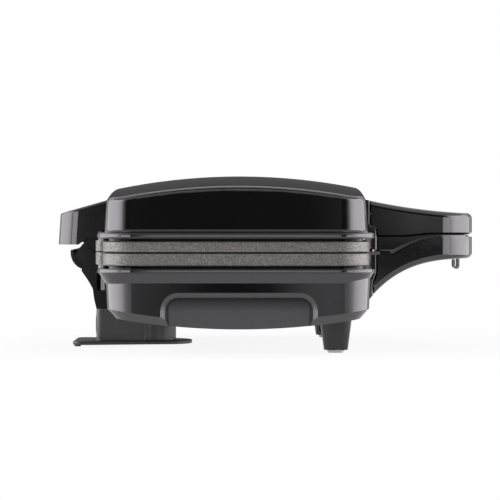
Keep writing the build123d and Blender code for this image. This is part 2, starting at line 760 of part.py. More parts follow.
def parting_points(tip_z, lip_z, ahead):
    """The S-shaped line along which the two handles meet, from the lip by the plates to the tip."""
    start = LIP_END_X + ahead
    return [(start + along * (CURVE_END_X - start), lip_z + up * (tip_z - lip_z)) for along, up in CURVE]


def upper_handle_side(drop=0.0, raise_lip=0.0):
    """Side outline of the whole upper handle, or of its inside."""
    top = bent(upper_top_points(drop))
    lip = UPPER_LIP_Z + raise_lip
    tip = CREASE_TIP_Z + raise_lip
    under = bent(parting_points(tip, lip, 0.0))
    first = straight([(HANDLE_BACK_X, UPPER_ROOT_TOP_Z + 1 - drop), (HANDLE_BACK_X, lip), (LIP_END_X, lip)])
    last = straight([(CURVE_END_X, tip), (TIP_X + 2, tip), (TIP_X + 2, UPPER_TIP_TOP_Z - drop)])
    return across([top, first, under, last])


def above_crease(grow=0.0):
    """The space above the crease that divides the handle's shell from its liner."""
    start = CREASE_Z + grow
    end = CREASE_TIP_Z + grow
    line = straight([(HANDLE_BACK_X - 5, start), (LIP_END_X + CREASE_LEVEL, start),
                     (CURVE_END_X - CREASE_LEVEL_TIP, end), (TIP_X + 5, end), (TIP_X + 5, CROWN_Z),
                     (HANDLE_BACK_X - 5, CROWN_Z), (HANDLE_BACK_X - 5, start)])
    return across([line])


def lower_handle_side(drop=0.0, lift=0.0):
    """Side outline of the lower handle, or of its inside."""
    lip = LOWER_LIP_Z - drop
    tip = LOWER_TIP_TOP_Z - drop
    root_z = LOWER_ROOT_BOTTOM_Z - 12 + lift
    tip_low = LOWER_TIP_BOTTOM_Z + lift
    top = bent(parting_points(tip, lip, LOWER_AHEAD))
    sweep = [(RIM_FRONT_X + along, z + lift) for along, z in LOWER_SWEEP]
    bottom = bent([(HANDLE_BACK_X, root_z)] + sweep + [(TIP_X + 2, tip_low)])
    first = straight([(HANDLE_BACK_X, root_z), (HANDLE_BACK_X, lip), (LIP_END_X + LOWER_AHEAD, lip)])
    last = straight([(CURVE_END_X, tip), (TIP_X + 2, tip), (TIP_X + 2, tip_low)])
    return across([top, first, bottom, last])


def front_space(points, bends, half_width=RIM_WIDTH / 2):
    """What lies behind a stepped front, with some of the step's corners rounded."""
    face = make_face(Polyline(*[(x, 0, z) for x, z in points], close=True))
    corners = [v for v in face.vertices() if any(hypot(v.X - x, v.Z - z) < 0.01 for x, z in bends)]
    return extrude(fillet(corners, COLLAR_BEND), amount=half_width, dir=(0, 1, 0), both=True)


def upper_front(reach):
    """Everything behind the lid's front wall and rim, moved forward by a reach."""
    rise = UPPER_RIM_Z + UPPER_RIM_THICK + reach * FRONT_SLOPE
    bends = [(WALL_FRONT_X + reach, rise + UPPER_COVE), (RIM_FRONT_X + reach, rise)]
    points = [(0, CROWN_Z), (WALL_FRONT_X + reach, CROWN_Z)] + bends
    return front_space(points + [(RIM_FRONT_X + reach, UPPER_LIP_Z - 5), (0, UPPER_LIP_Z - 5)], bends)


def lower_front(reach):
    """Everything behind the base's rim and front wall, moved forward by a reach."""
    low = LOWER_RIM_Z - LOWER_RIM_THICK - reach * FRONT_SLOPE
    bends = [(RIM_FRONT_X + reach, low), (BASE_FRONT_X + reach, low - LOWER_SKIRT)]
    points = [(0, LOWER_LIP_Z + 5), (RIM_FRONT_X + reach, LOWER_LIP_Z + 5)] + bends
    return front_space(points + [(BASE_FRONT_X + reach, 0), (0, 0)], bends)


def plate_clearance():
    """The space of the plates, which the collars keep out of."""
    front = PLATE_FRONT_X + COLLAR_REACH
    return block((0, front), (-RIM_WIDTH / 2, RIM_WIDTH / 2), (LOWER_RIM_Z, UPPER_RIM_Z))


def collar(upper):
    """The neck on the front of a housing, with rounded sides, that the handle's root sits on."""
    if upper:
        body = upper_handle_side() & upper_front(COLLAR_REACH)
    else:
        above_root = block((0, TIP_X), (-RIM_WIDTH / 2, RIM_WIDTH / 2), (LOWER_ROOT_BOTTOM_Z, CROWN_Z))
        body = lower_handle_side() & lower_front(COLLAR_REACH) & above_root
    neck = body & handle_plan(COLLAR_INSET)
    ahead = neck.faces().filter_by(lambda f: f.normal_at(f.center()).X > 0.3)
    side = HANDLE_ROOT_HALF - COLLAR_INSET - 3
    sides = [e for face in ahead for e in face.edges() if abs(e.center().Y) > side]
    return fillet(sides, COLLAR_ROUND) - plate_clearance()


def handle_fixing(upper):
    """Where a handle's screws are: the housing's front there, and their height."""
    return (WALL_FRONT_X, UPPER_HANDLE_SCREW_Z) if upper else (BASE_FRONT_X, LOWER_HANDLE_SCREW_Z)


def handle_boss(upper, length):
    """The two bosses inside a handle that its screws run into."""
    front, z = handle_fixing(upper)
    collar_space = upper_front(COLLAR_REACH) if upper else lower_front(COLLAR_REACH)
    bosses = [rod((front + COLLAR_REACH, sign * HANDLE_SCREW_Y, z), BOSS_RADIUS, length, (1, 0, 0))
              for sign in (-1, 1)]
    return [boss - collar_space for boss in bosses]


def handle_screw_set(upper, reach):
    """Screws from inside the front wall, through the collar, into the handle's bosses."""
    front, z = handle_fixing(upper)
    start = front - SCREW_SEAT - SCREW_HEAD
    return [screw((start, sign * HANDLE_SCREW_Y, z), (1, 0, 0), SCREW_SEAT + COLLAR_REACH + reach)
            for sign in (-1, 1)]


def handle_bores(upper, reach):
    """Bores for the handle's screws, through seat and collar and into the boss."""
    front, z = handle_fixing(upper)
    length = SCREW_SEAT + COLLAR_REACH + reach
    return [rod((front - SCREW_SEAT, sign * HANDLE_SCREW_Y, z), SCREW_RADIUS, length, (1, 0, 0))
            for sign in (-1, 1)]


def screw_seats(upper):
    """Raised seats inside the front wall under the heads of the handle's screws."""
    front, z = handle_fixing(upper)
    return [rod((front - SCREW_SEAT, sign * HANDLE_SCREW_Y, z), BOSS_RADIUS, SCREW_SEAT, (1, 0, 0))
            for sign in (-1, 1)]


def upper_handle():
    """The top shell of the upper handle, with ears inside for the latch pin."""
    whole = upper_handle_side() & handle_plan() & above_crease()
    outer = whole - upper_front(COLLAR_REACH + SEAM_GAP)
    outer = fillet(rim_edges(outer, 1), HANDLE_EDGE)
    outer = chamfer(crease_edges(outer), CREASE_CHAMFER)
    inner = upper_handle_side(HANDLE_WALL, -5) & handle_plan(HANDLE_WALL)
    inner = inner - upper_front(COLLAR_REACH + SEAM_GAP + HANDLE_WALL)
    shell = joined(outer - inner, [boss & whole for boss in handle_boss(True, UPPER_BOSS)])
    shell = joined(shell, [ear & outer for ear in latch_ears()])
    shell = cut_away(shell, handle_bores(True, UPPER_BITE + BORE_SPARE) + lens_holes())
    return shell - cross_rod(LATCH_PIVOT_X, LATCH_PIVOT_Z, LATCH_PIN_RADIUS, -LATCH_EAR_OUT, LATCH_EAR_OUT)


def rim_edges(solid, way):
    """The long edges round the top of a handle, or round its bottom where way is less than zero."""
    faces = solid.faces().filter_by(lambda f: f.normal_at(f.center()).Z * way > 0.8)
    edges = [e for face in faces for e in face.edges() if e.center().X > RIM_FRONT_X + COLLAR_REACH + 2]
    return [e for e in edges if max(abs(v.Y) for v in e.vertices()) > 1]


def crease_edges(solid):
    """The outer edges round the underside of the upper handle's shell."""
    under = solid.faces().filter_by(lambda f: f.normal_at(f.center()).Z < -0.8)
    side = HANDLE_TIP_HALF - HANDLE_TIP_CORNER
    edges = [e for face in under for e in face.edges() if e.center().X > RIM_FRONT_X + COLLAR_REACH + 2]
    return [e for e in edges if abs(e.center().Y) > side or e.center().X > TIP_X - 1]


def upper_handle_liner():
    """The recessed tray that closes the upper handle from below."""
    front = COLLAR_REACH + SEAM_GAP
    outer = (upper_handle_side() & handle_plan(LINER_INSET)) - above_crease() - upper_front(front)
    inner = upper_handle_side(0, LINER_WALL) & handle_plan(LINER_INSET + LINER_WALL)
    return (outer - (inner - upper_front(front + LINER_WALL))) + tip_floor() - latch_slot()


def tip_floor():
    """The flat floor that closes the tip between the walls of the upper handle's shell."""
    band = above_crease() - above_crease(LINER_WALL)
    tip = block((TIP_FLOOR_X, TIP_X), (-HANDLE_ROOT_HALF, HANDLE_ROOT_HALF), (0, CROWN_Z))
    return band & handle_plan(HANDLE_WALL + SCREW_PLAY) & tip


def lower_handle():
    """The lower handle: a scoop that sweeps up from the base to the tip."""
    whole = lower_handle_side() & handle_plan()
    outer = whole - lower_front(COLLAR_REACH + SEAM_GAP)
    outer = fillet(rim_edges(outer, -1), HANDLE_EDGE)
    inner = lower_handle_side(-5, HANDLE_WALL) & handle_plan(HANDLE_WALL)
    shell = outer - (inner - lower_front(COLLAR_REACH + SEAM_GAP + HANDLE_WALL))
    shell = joined(shell, [boss & whole for boss in handle_boss(False, LOWER_BOSS)])
    return cut_away(shell, handle_bores(False, LOWER_BITE + BORE_SPARE)) - latch_slot()


def lower_handle_liner():
    """The cover that closes the lower handle from above and stands a little proud of its rim."""
    band = lower_handle_side(-LINER_PROUD) - lower_handle_side(LINER_WALL - LINER_PROUD)
    front = lower_front(COLLAR_REACH + SEAM_GAP + HANDLE_WALL)
    cover = (band & handle_plan(HANDLE_WALL) & lower_handle_side(-LINER_PROUD, HANDLE_WALL)) - front
    return (cover + root_pad()) - latch_slot()


def root_pad():
    """The raised back of the lower liner, behind the gap between the two handles."""
    start = RIM_FRONT_X + COLLAR_REACH + SEAM_GAP + HANDLE_WALL
    pad = block((start, LIP_END_X - ROOT_PAD_BACK), (-HANDLE_ROOT_HALF, HANDLE_ROOT_HALF),
                (LOWER_LIP_Z - LINER_WALL / 2, ROOT_PAD_Z))
    return pad & handle_plan(HANDLE_WALL)


def latch_ears():
    """Two ears that hang from the upper handle's roof and hold the latch pin."""
    low = LATCH_PIVOT_Z - LATCH_EAR_HALF
    x = (LATCH_PIVOT_X - LATCH_EAR_HALF, LATCH_PIVOT_X + LATCH_EAR_HALF)
    return [block(x, (LATCH_EAR_IN, LATCH_EAR_OUT), (low, UPPER_TIP_TOP_Z)),
            block(x, (-LATCH_EAR_OUT, -LATCH_EAR_IN), (low, UPPER_TIP_TOP_Z))]


def stem_x():
    """Rear and front faces of the latch's stem."""
    inner = LATCH_PIVOT_X + LATCH_PIN_RADIUS + PIN_FIT
    return inner, inner + LATCH_THICK


def latch_slot():
    """The slot through both liners and the lower handle that the latch passes through."""
    rear = stem_x()[0] - LATCH_HOOK - LATCH_SLOT_BEHIND
    front = stem_x()[1] + LATCH_SLOT_AHEAD
    half = LATCH_WIDTH / 2 + LATCH_SLOT_SIDE
    return block((rear, front), (-half, half), (LATCH_BOTTOM_Z, LATCH_PIVOT_Z - LATCH_EAR_HALF))


def latch():
    """A bent strip: curled round its pin, straight down and turned back up into a hook."""
    inner = LATCH_PIN_RADIUS + PIN_FIT
    half = LATCH_WIDTH / 2
    rear, front = stem_x()
    hook_rear = rear - LATCH_HOOK
    bend = (front - hook_rear) / 2
    middle = hook_rear + bend
    low = LATCH_BOTTOM_Z + bend
    curl = cross_rod(LATCH_PIVOT_X, LATCH_PIVOT_Z, inner + LATCH_THICK, -half, half)
    curl = curl - cross_rod(LATCH_PIVOT_X, LATCH_PIVOT_Z, inner, -half, half)
    stem = block((rear, front), (-half, half), (low, LATCH_PIVOT_Z))
    loop = cross_rod(middle, low, bend, -half, half) - cross_rod(middle, low, bend - LATCH_THICK, -half, half)
    loop = loop - block((hook_rear - 1, front + 1), (-half, half), (low, low + bend + 1))
    arm = block((hook_rear, hook_rear + LATCH_THICK), (-half, half), (low, LATCH_BARB_Z))
    return curl + stem + loop + arm


def latch_pin():
    return cross_rod(LATCH_PIVOT_X, LATCH_PIVOT_Z, LATCH_PIN_RADIUS, -LATCH_EAR_OUT, LATCH_EAR_OUT)


# Rear hinge

def ring_section(radius, y0, y1):
    """A round bar along the hinge line."""
    return cross_rod(HINGE_X, HINGE_Z, radius, y0, y1)


def cradle_section(radius, y0, y1):
    """A round bar along the cradle's own middle line."""
    return cross_rod(CRADLE_X, CRADLE_Z, radius, y0, y1)


def cradle_opening():
    """What lies above the sloping brim of the hinge cradle."""
    reach = 2 * CRADLE_RADIUS
    brim = [(CRADLE_X - reach, CRADLE_Z + CRADLE_BRIM_REAR), (CRADLE_X + reach, CRADLE_Z + CRADLE_BRIM_FRONT)]
    above = [(CRADLE_X + reach, CRADLE_Z + reach), (CRADLE_X - reach, CRADLE_Z + reach)]
    return side_profile(brim + above, CRADLE_HALF + 1)


def rear_pad(z0, z1, half):
    """A flat pad on the drafted rear wall of a housing."""
    return block((REAR_PAD_X, REAR_PAD_X + SHELL), (-half, half), (z0, z1))


def cradle_tail():
    """The part of the cradle that runs down the back of the base to the cord store."""
    rear = [(CRADLE_X + back, CRADLE_Z + up) for back, up in TAIL_LINE]
    foot = [(CRADLE_X + TAIL_FOOT, CRADLE_FOOT_Z), (REAR_PAD_X, CRADLE_FOOT_Z)]
    return side_profile(rear + foot + [(REAR_PAD_X, CRADLE_Z + TAIL_TOP), (CRADLE_X, CRADLE_Z + TAIL_TOP)],
                        CRADLE_HALF)


def hinge_cradle():
    """The open cradle behind the base: a curved trough, four pin ears and a tail with ribs."""
    solid = cradle_section(CRADLE_RADIUS, -CRADLE_HALF, CRADLE_HALF) + cradle_tail()
    solid = cut_away(solid, [cradle_opening()] + cradle_clearances())
    solid = solid - cradle_section(CRADLE_RADIUS - CRADLE_WALL, -CRADLE_HALF, CRADLE_HALF)
    solid = cut_away(solid, tail_pockets() + corner_post_spaces())
    ears = []
    for y0, y1 in ear_spans():
        ear = cradle_section(CRADLE_RADIUS - CRADLE_WALL / 2, y0, y1) - cradle_opening()
        below = block((CRADLE_X - CRADLE_RADIUS, REAR_PAD_X), (y0, y1), (0, EAR_Z))
        ears.append((ear & below) + cross_rod(EAR_X, EAR_Z, EAR_RADIUS, y0, y1))
    solid = cut_away(joined(solid, ears), arm_notches())
    solid = cut_away(solid, hinge_pins())
    return cut_away(solid, cradle_clearances())


def cradle_clearances():
    """Spaces that the cradle leaves to the base: rear wall, rim with play, and skirt under the rim."""
    half = CRADLE_HALF
    wall = block((REAR_PAD_X, 0), (-half, half), (0, CROWN_Z))
    low = LOWER_RIM_Z - LOWER_RIM_THICK
    rim = block((RIM_REAR_X - SEAT_GAP, 0), (-half, half), (low - SEAT_GAP, CROWN_Z))
    reach = RIM_REAR_X + LOWER_SKIRT_INSET - SEAT_GAP
    under = low - LOWER_SKIRT - SEAT_GAP
    slope = [(REAR_PAD_X + 1, low), (reach, low), (REAR_PAD_X, under), (REAR_PAD_X + 1, under)]
    skirt = side_profile(slope, half)
    return [wall, rim, skirt]


def corner_post_spaces():
    """The ends of the tail that make way for the base's rounded corner posts."""
    x = (CORNER_POST_X - SEAT_GAP, 0)
    z = (CORNER_POST_LOW_Z - SEAT_GAP, LOWER_RIM_Z - LOWER_RIM_THICK)
    return both_sides(block(x, (CORNER_POST_IN - SEAT_GAP, CRADLE_HALF), z))


def corner_posts():
    """Two posts on the base's rear wall, rounded at their outer corner, beside the cradle's tail."""
    high = LOWER_RIM_Z - LOWER_RIM_THICK
    post = block((CORNER_POST_X, REAR_PAD_X + SHELL), (-CORNER_POST_OUT, -CORNER_POST_IN),
                 (CORNER_POST_LOW_Z, high))
    outer = [e for e in post.edges().filter_by(Axis.Z)
             if e.center().X < REAR_PAD_X and e.center().Y < -CORNER_POST_IN - 1]
    return both_sides(fillet(outer, CORNER_POST_ROUND))


def ear_spans():
    outer = (EAR_IN, EAR_OUT)
    inner = (INNER_EAR_IN, INNER_EAR_OUT)
    return [outer, inner, (-outer[1], -outer[0]), (-inner[1], -inner[0])]


def arm_notches():
    """Gaps in the trough's rear wall that let the arms swing back."""
    return [block((HINGE_X - 2 * CRADLE_RADIUS, HINGE_X - 1), (y0, y1), (HINGE_Z - NOTCH_DEPTH, CROWN_Z))
            for y0, y1 in ((ARM_IN - ARM_GAP, ARM_OUT + ARM_GAP), (-ARM_OUT - ARM_GAP, -ARM_IN + ARM_GAP))]


def tail_pockets():
    """Hollows in the tail, seen from behind, that leave ribs between them."""
    pitch = TAIL_POCKET + TAIL_RIB
    cuts = []
    for index in range(-3, 3):
        y0 = index * pitch + TAIL_RIB / 2
        cuts.append(block((HINGE_X - CRADLE_RADIUS, TAIL_DEPTH_X), (y0, y0 + TAIL_POCKET),
                          (CRADLE_FOOT_Z + TAIL_RIB, TAIL_POCKET_TOP_Z)))
    return cuts


def hinge_pins():
    """The two hinge pins, pressed into the ears and covered at their outer ends."""
    return both_sides(ring_section(PIN_RADIUS, INNER_EAR_IN, EAR_OUT - PIN_COVER))


def arm_profile():
    """Side outline of an arm above its barrel, from the hinge pin to the lid's rear pad."""
    top = ARM_SCREW_ZS[1] + ARM_SCREW_HEAD + SCREW_SINK
    low = ARM_SCREW_ZS[0] - ARM_SCREW_HEAD - SEAT_GAP
    plate = REAR_PAD_X - ARM_PLATE
    inner = [(HINGE_X + ahead, HINGE_Z + up) for ahead, up in ARM_INNER_LINE]
    outer = [(HINGE_X + ahead, HINGE_Z + up) for ahead, up in ARM_OUTER_LINE]
    pad = [(REAR_PAD_X, HINGE_Z + ARM_INNER_TOP), (REAR_PAD_X, top), (plate, top), (plate, low),
           (outer[0][0], low - ARM_JOG)]
    return [(HINGE_X, HINGE_Z)] + inner + pad + outer


def hinge_arms():
    """Arms that carry the lid: a barrel on the pin, a shoulder and a leg up the lid's rear pad."""
    arms = []
    for sign in (-1, 1):
        middle = sign * (ARM_IN + ARM_OUT) / 2
        bar = Pos(0, middle, 0) * side_profile(arm_profile(), ARM_THICK / 2)
        barrel = ring_section(KNUCKLE_RADIUS, middle - ARM_THICK / 2, middle + ARM_THICK / 2)
        bore = ring_section(PIN_RADIUS + PIN_FIT, middle - ARM_THICK, middle + ARM_THICK)
        arms.append(cut_away(bar + barrel - bore, arm_screw_bores(middle)))
    return arms


def arm_screw_bores(middle):
    return [rod((REAR_PAD_X - 8, middle, z), ARM_SCREW_RADIUS, 8 + ARM_SCREW_REACH, (1, 0, 0))
            for z in ARM_SCREW_ZS]


def arm_screws():
    screws = []
    for sign in (-1, 1):
        middle = sign * (ARM_IN + ARM_OUT) / 2
        for z in ARM_SCREW_ZS:
            start = (REAR_PAD_X - ARM_PLATE - SCREW_HEAD, middle, z)
            screws.append(screw(start, (1, 0, 0), ARM_PLATE + ARM_SCREW_REACH, ARM_SCREW_HEAD,
                                ARM_SCREW_RADIUS))
    return screws


def cover_side():
    """Side outline of the hinge cover, stepped up below where the hinge turns."""
    return [(COVER_REAR_X, COVER_BOTTOM_Z), (COVER_REAR_X + COVER_LEAN, COVER_TOP_Z),
            (REAR_PAD_X, COVER_FRONT_Z), (REAR_PAD_X, COVER_STEP_Z), (CRADLE_X, COVER_STEP_Z),
            (CRADLE_X - COVER_STEP_BACK, COVER_BOTTOM_Z)]


def cover_room_side():
    """Side outline of the room inside the hinge cover, open below and to the lid."""
    low = COVER_BOTTOM_Z - 9
    inner = COVER_REAR_X + COVER_WALL
    return [(inner, low), (inner + COVER_LEAN, COVER_TOP_Z - COVER_WALL),
            (REAR_PAD_X + 3, COVER_FRONT_Z - COVER_WALL), (REAR_PAD_X + 3, low)]


def rear_corners(solid):
    """The upright edges at the back of the hinge cover or of its room."""
    return solid.edges().filter_by(lambda e: e.center().X < COVER_REAR_X + 5 and abs(e.center().Y) > 10
                                   and e.bounding_box().size.Z > 10)


def hinge_cover():
    """The hood over the hinge: sloping top, round rear corners, open below and to the lid."""
    outer = side_profile(cover_side(), COVER_HALF)
    outer = fillet(rear_corners(outer), COVER_CORNER)
    roof = outer.faces().filter_by(lambda f: f.normal_at(f.center()).Z > 0.8).sort_by(SortBy.AREA)[-1]
    outer = fillet(roof.edges().filter_by(lambda e: e.center().X < REAR_PAD_X - 1), COVER_TOP_EDGE)
    room = side_profile(cover_room_side(), COVER_HALF - COVER_WALL)
    room = fillet(rear_corners(room), COVER_CORNER - COVER_WALL)
    return outer - room - lid_rim_space()


def lid_rim_space():
    """The space of the lid's rim and of the cove above it, cut from the cover with play."""
    top = UPPER_RIM_Z + UPPER_RIM_THICK
    rear = RIM_REAR_X - SEAT_GAP
    line = [(rear + ahead, top + up) for ahead, up in RIM_PLAY]
    return side_profile([(0, 0), (rear, 0)] + line + [(0, line[-1][1])], RIM_WIDTH)


# Feet and cord store

def feet():
    """Tapered front feet, hollowed from the inner side with a rib left in the hollow."""
    pair = []
    for sign in (-1, 1):
        plane = at_height(PAD_HEIGHT, x=FOOT_X, y=sign * FOOT_Y)
        post = extrude(plane * RectangleRounded(FOOT_LENGTH, FOOT_WIDTH, FOOT_CORNER), amount=BELLY_Z + 8,
                       taper=-FOOT_DRAFT)
        inner_y = sign * (FOOT_Y - FOOT_WIDTH / 2 - 3)
        for side in (-1, 1):
            x0 = FOOT_X + side * FOOT_RIB / 2
            x1 = FOOT_X + side * (FOOT_LENGTH / 2 - FOOT_WALL)
            y1 = inner_y + sign * (FOOT_WIDTH - 1)
            z = (PAD_HEIGHT + FOOT_FLOOR, LOWER_RIM_Z)
            post = post - block(sorted((x0, x1)), sorted((inner_y, y1)), z)
        pair.append(post - base_form())
    return pair


def foot_pads():
    pads = []
    for sign in (-1, 1):
        pad = rod((FOOT_X, sign * FOOT_Y, 0), PAD_RADIUS, PAD_HEIGHT)
        pads.append(fillet(pad.edges().sort_by(Axis.Z)[0], FOOT_PAD_EDGE))
    return pads


def store_plan(inset=0.0):
    """The cord store's plate from above: broad behind and drawn in to a round nose."""
    nose_x = STORE_FRONT_X - STORE_NOSE
    rear = Polyline((STORE_REAR_X + inset, -STORE_HALF + inset), (STORE_REAR_X + inset, STORE_HALF - inset))
    nose = Pos(nose_x, 0) * CenterArc((0, 0), STORE_NOSE - inset, 0, 360)
    outline = make_hull(rear.edges() + nose.edges())
    corners = outline.vertices().filter_by(lambda v: v.X < STORE_REAR_X + inset + 1)
    return fillet(corners, STORE_CORNER - inset)


def cord_store_plate():
    plate = Pos(0, 0, STORE_BOTTOM_Z) * extrude(store_plan(), amount=STORE_THICK)
    return fillet(highest_face(plate).edges() + lowest_face(plate).edges(), STORE_EDGE)


def rear_pads():
    x = STORE_REAR_X + REAR_PAD_RADIUS + 1.0
    y = STORE_HALF - STORE_CORNER - 1.0
    return [rod((x, sign * y, 0), REAR_PAD_RADIUS, STORE_BOTTOM_Z) for sign in (-1, 1)]


def column_plan(inset=0.0):
    """The column from above: a square-backed block, a groove each side and a round nose."""
    rear = COLUMN_REAR_X + inset
    half = COLUMN_HALF - inset
    middle = (rear + COLUMN_BLOCK_X) / 2
    back = Pos(middle, 0) * RectangleRounded(COLUMN_BLOCK_X - rear, 2 * half, COLUMN_CORNER)
    nose_x = COLUMN_FRONT_X - COLUMN_NOSE
    nose = Pos(nose_x, 0) * Circle(COLUMN_NOSE - inset)
    neck_x = (middle + nose_x) / 2
    neck = Pos(neck_x, 0) * Rectangle(nose_x - middle, 2 * (half - COLUMN_GROOVE - 1.0))
    return back + nose + neck


def cord_store_column():
    """The hollow column that the cord is wound round, between the plate and the base."""
    bottom = STORE_BOTTOM_Z + STORE_THICK
    post = Pos(0, 0, bottom) * extrude(column_plan(), amount=CRADLE_FOOT_Z - SEAT_GAP - bottom)
    room = Pos(0, 0, bottom + COLUMN_WALL) * extrude(column_plan(COLUMN_WALL), amount=CRADLE_FOOT_Z)
    pillars = [rod((x, 0, bottom), STORE_PILLAR, CRADLE_FOOT_Z - SEAT_GAP - bottom) for x in STORE_SCREW_XS]
    post = joined(post - room, pillars) - base_form()
    post = cut_away(post, [rod((x, 0, bottom), SCREW_RADIUS, STORE_SCREW_REACH) for x in STORE_SCREW_XS])
    return post - rod((COLUMN_REAR_X - 1, 0, GLAND_Z), GLAND_RADIUS, COLUMN_WALL + 2, (1, 0, 0))


def store_screw_bores():
    """Holes through the plate, widened below for the heads."""
    bores = [rod((x, 0, 0), SCREW_RADIUS, STORE_SCREW_REACH) for x in STORE_SCREW_XS]
    seats = [rod((x, 0, 0), SCREW_HEAD_RADIUS + SCREW_PLAY, STORE_SCREW_Z + SCREW_HEAD)
             for x in STORE_SCREW_XS]
    return bores + seats


def store_screws():
    """Screws up through the plate into the column's pillars, their heads sunk in the plate."""
    return [screw((x, 0, STORE_SCREW_Z), (0, 0, 1), STORE_SCREW_REACH) for x in STORE_SCREW_XS]


def cord_gland():
    """The bush in the column's rear wall that the mains lead would pass through."""
    start = (COLUMN_REAR_X - GLAND_LIP, 0, GLAND_Z)
    lip = rod(start, GLAND_RADIUS + GLAND_FLANGE, GLAND_LIP, (1, 0, 0))
    neck = rod(start, GLAND_RADIUS, GLAND_LIP + COLUMN_WALL + GLAND_FLANGE, (1, 0, 0))
    return lip + neck - rod(start, GLAND_BORE, CRADLE_FOOT_Z, (1, 0, 0))


# Lamps, thermostat, fuse and terminals


def lens_places():
    return [(LENS_X, -LENS_Y), (LENS_X, LENS_Y)]


def lens_block(place, grow=0.0):
    """An upright block over one lens, from the floor of its socket to above the crown."""
    half_x = LENS_LENGTH / 2 + grow
    half_y = LENS_WIDTH / 2 + grow
    return block((place[0] - half_x, place[0] + half_x), (place[1] - half_y, place[1] + half_y),
                 (HOLDER_Z + HOLDER_WALL, CROWN_Z + 1))


def lens(place):
    """A flush lens with a flange behind the skin of the upper handle."""
    stem = lens_block(place) & upper_handle_side(-LENS_PROUD)
    stem = stem - upper_handle_side(HANDLE_WALL + LENS_DEPTH)
    flange = lens_block(place, LENS_FLANGE) & upper_handle_side(HANDLE_WALL)
    return stem + (flange - upper_handle_side(HANDLE_WALL + LENS_FLANGE))


def lens_holes():
    return [lens_block(place) for place in lens_places()]


def lamp_holder():
    """A moulded block under both lenses, with a socket for each lamp."""
    half_x = LENS_LENGTH / 2 + LENS_FLANGE + HOLDER_WALL
    half_y = LENS_Y + LENS_WIDTH / 2 + LENS_FLANGE + HOLDER_WALL
    body = block((LENS_X - half_x, LENS_X + half_x), (-half_y, half_y), (HOLDER_Z, CROWN_Z))
    body = body & upper_handle_side(HANDLE_WALL)
    seat = upper_handle_side(HANDLE_WALL + LENS_FLANGE + SCREW_PLAY)
    for place in lens_places():
        body = body - lens_block(place, SCREW_PLAY)
        body = body - (lens_block(place, LENS_FLANGE + SCREW_PLAY) - seat)
    return body


def lamps():
    """Two small lamps standing in the holder's sockets."""
    bulbs = []
    for x, y in lens_places():
        bulb = rod((x, y, HOLDER_Z + HOLDER_WALL), LAMP_RADIUS, LAMP_LENGTH)
        bulbs.append(fillet(bulb.edges().sort_by(Axis.Z)[-1], LAMP_RADIUS * 0.8))
    return bulbs


def plate_back(upper):
    """Height of the flat backs of the pockets."""
    face_z, way, _ = plate_side(upper)
    return face_z + way * (POCKET_DEPTH + POCKET_WALL)


def thermostat():
    """A snap-disc thermostat on the back of the upper plate, with two blades."""
    z = plate_back(True)
    x = BODY_X + THERMOSTAT_X
    y = THERMOSTAT_Y
    reach = THERMOSTAT_RADIUS + THERMOSTAT_TAB
    cup = rod((x, y, z), THERMOSTAT_RADIUS, THERMOSTAT_CUP)
    cap = rod((x, y, z), THERMOSTAT_RADIUS - SHELL, THERMOSTAT_HEIGHT)
    flange = block((x - reach, x + reach), (y - THERMOSTAT_TAB, y + THERMOSTAT_TAB), (z, z + SHIELD_THICK))
    half = SHIELD_THICK / 2
    top = z + THERMOSTAT_HEIGHT
    blades = [block((x + side * THERMOSTAT_TAB - half, x + side * THERMOSTAT_TAB + half),
                    (y + THERMOSTAT_TAB + 1, y + THERMOSTAT_BLADE), (top - 2, top - 1)) for side in (-1, 1)]
    return joined(cup + cap + flange, blades)


def thermal_fuse():
    """A thermal cut-out in its saddle on the back of the lower plate."""
    z = plate_back(False)
    x = BODY_X + FUSE_X
    middle = z - FUSE_RADIUS - FUSE_SEAT
    half = FUSE_LENGTH / 2
    body = cross_rod(x, middle, FUSE_RADIUS, FUSE_Y - half, FUSE_Y + half)
    pins = cross_rod(x, middle, FUSE_LEAD_RADIUS, FUSE_Y - half - FUSE_LEAD, FUSE_Y + half + FUSE_LEAD)
    reach = FUSE_RADIUS + 1
    saddle = block((x - reach, x + reach), (FUSE_Y - 3, FUSE_Y + 3), (middle, z))
    return body + pins + saddle


def terminal_block():
    """The block where the lead's wires meet the heater's, on pillars from the base's floor."""
    long, wide, tall = TERMINAL_SIZE
    body = block((TERMINAL_X - long / 2, TERMINAL_X + long / 2), (-wide / 2, wide / 2),
                 (TERMINAL_SEAT_Z, TERMINAL_SEAT_Z + tall))
    for index in (-1, 0, 1):
        y = index * wide / 3
        body = body - rod((TERMINAL_X, y, TERMINAL_SEAT_Z + tall - 6), 2.2, 7)
        body = body - rod((TERMINAL_X - long / 2 - 1, y, TERMINAL_SEAT_Z + tall / 2), TERMINAL_BORE,
                          long + 2, (1, 0, 0))
    for index in (-1, 1):
        y = index * wide / 6
        body = body - block((TERMINAL_X - long, TERMINAL_X + long), (y - 0.8, y + 0.8),
                            (TERMINAL_SEAT_Z + tall - 4, TERMINAL_SEAT_Z + tall + 1))
    return body


def terminal_seats():
    """Two pillars on the base's floor, under the ends of the terminal block."""
    y = TERMINAL_SIZE[1] / 2 - TERMINAL_SEAT_RADIUS
    seats = [rod((TERMINAL_X, side, BELLY_Z), TERMINAL_SEAT_RADIUS, TERMINAL_SEAT_Z - BELLY_Z)
             for side in (-y, y)]
    return [seat & belly(SHELL / 2) for seat in seats]


# Housings with all that they carry

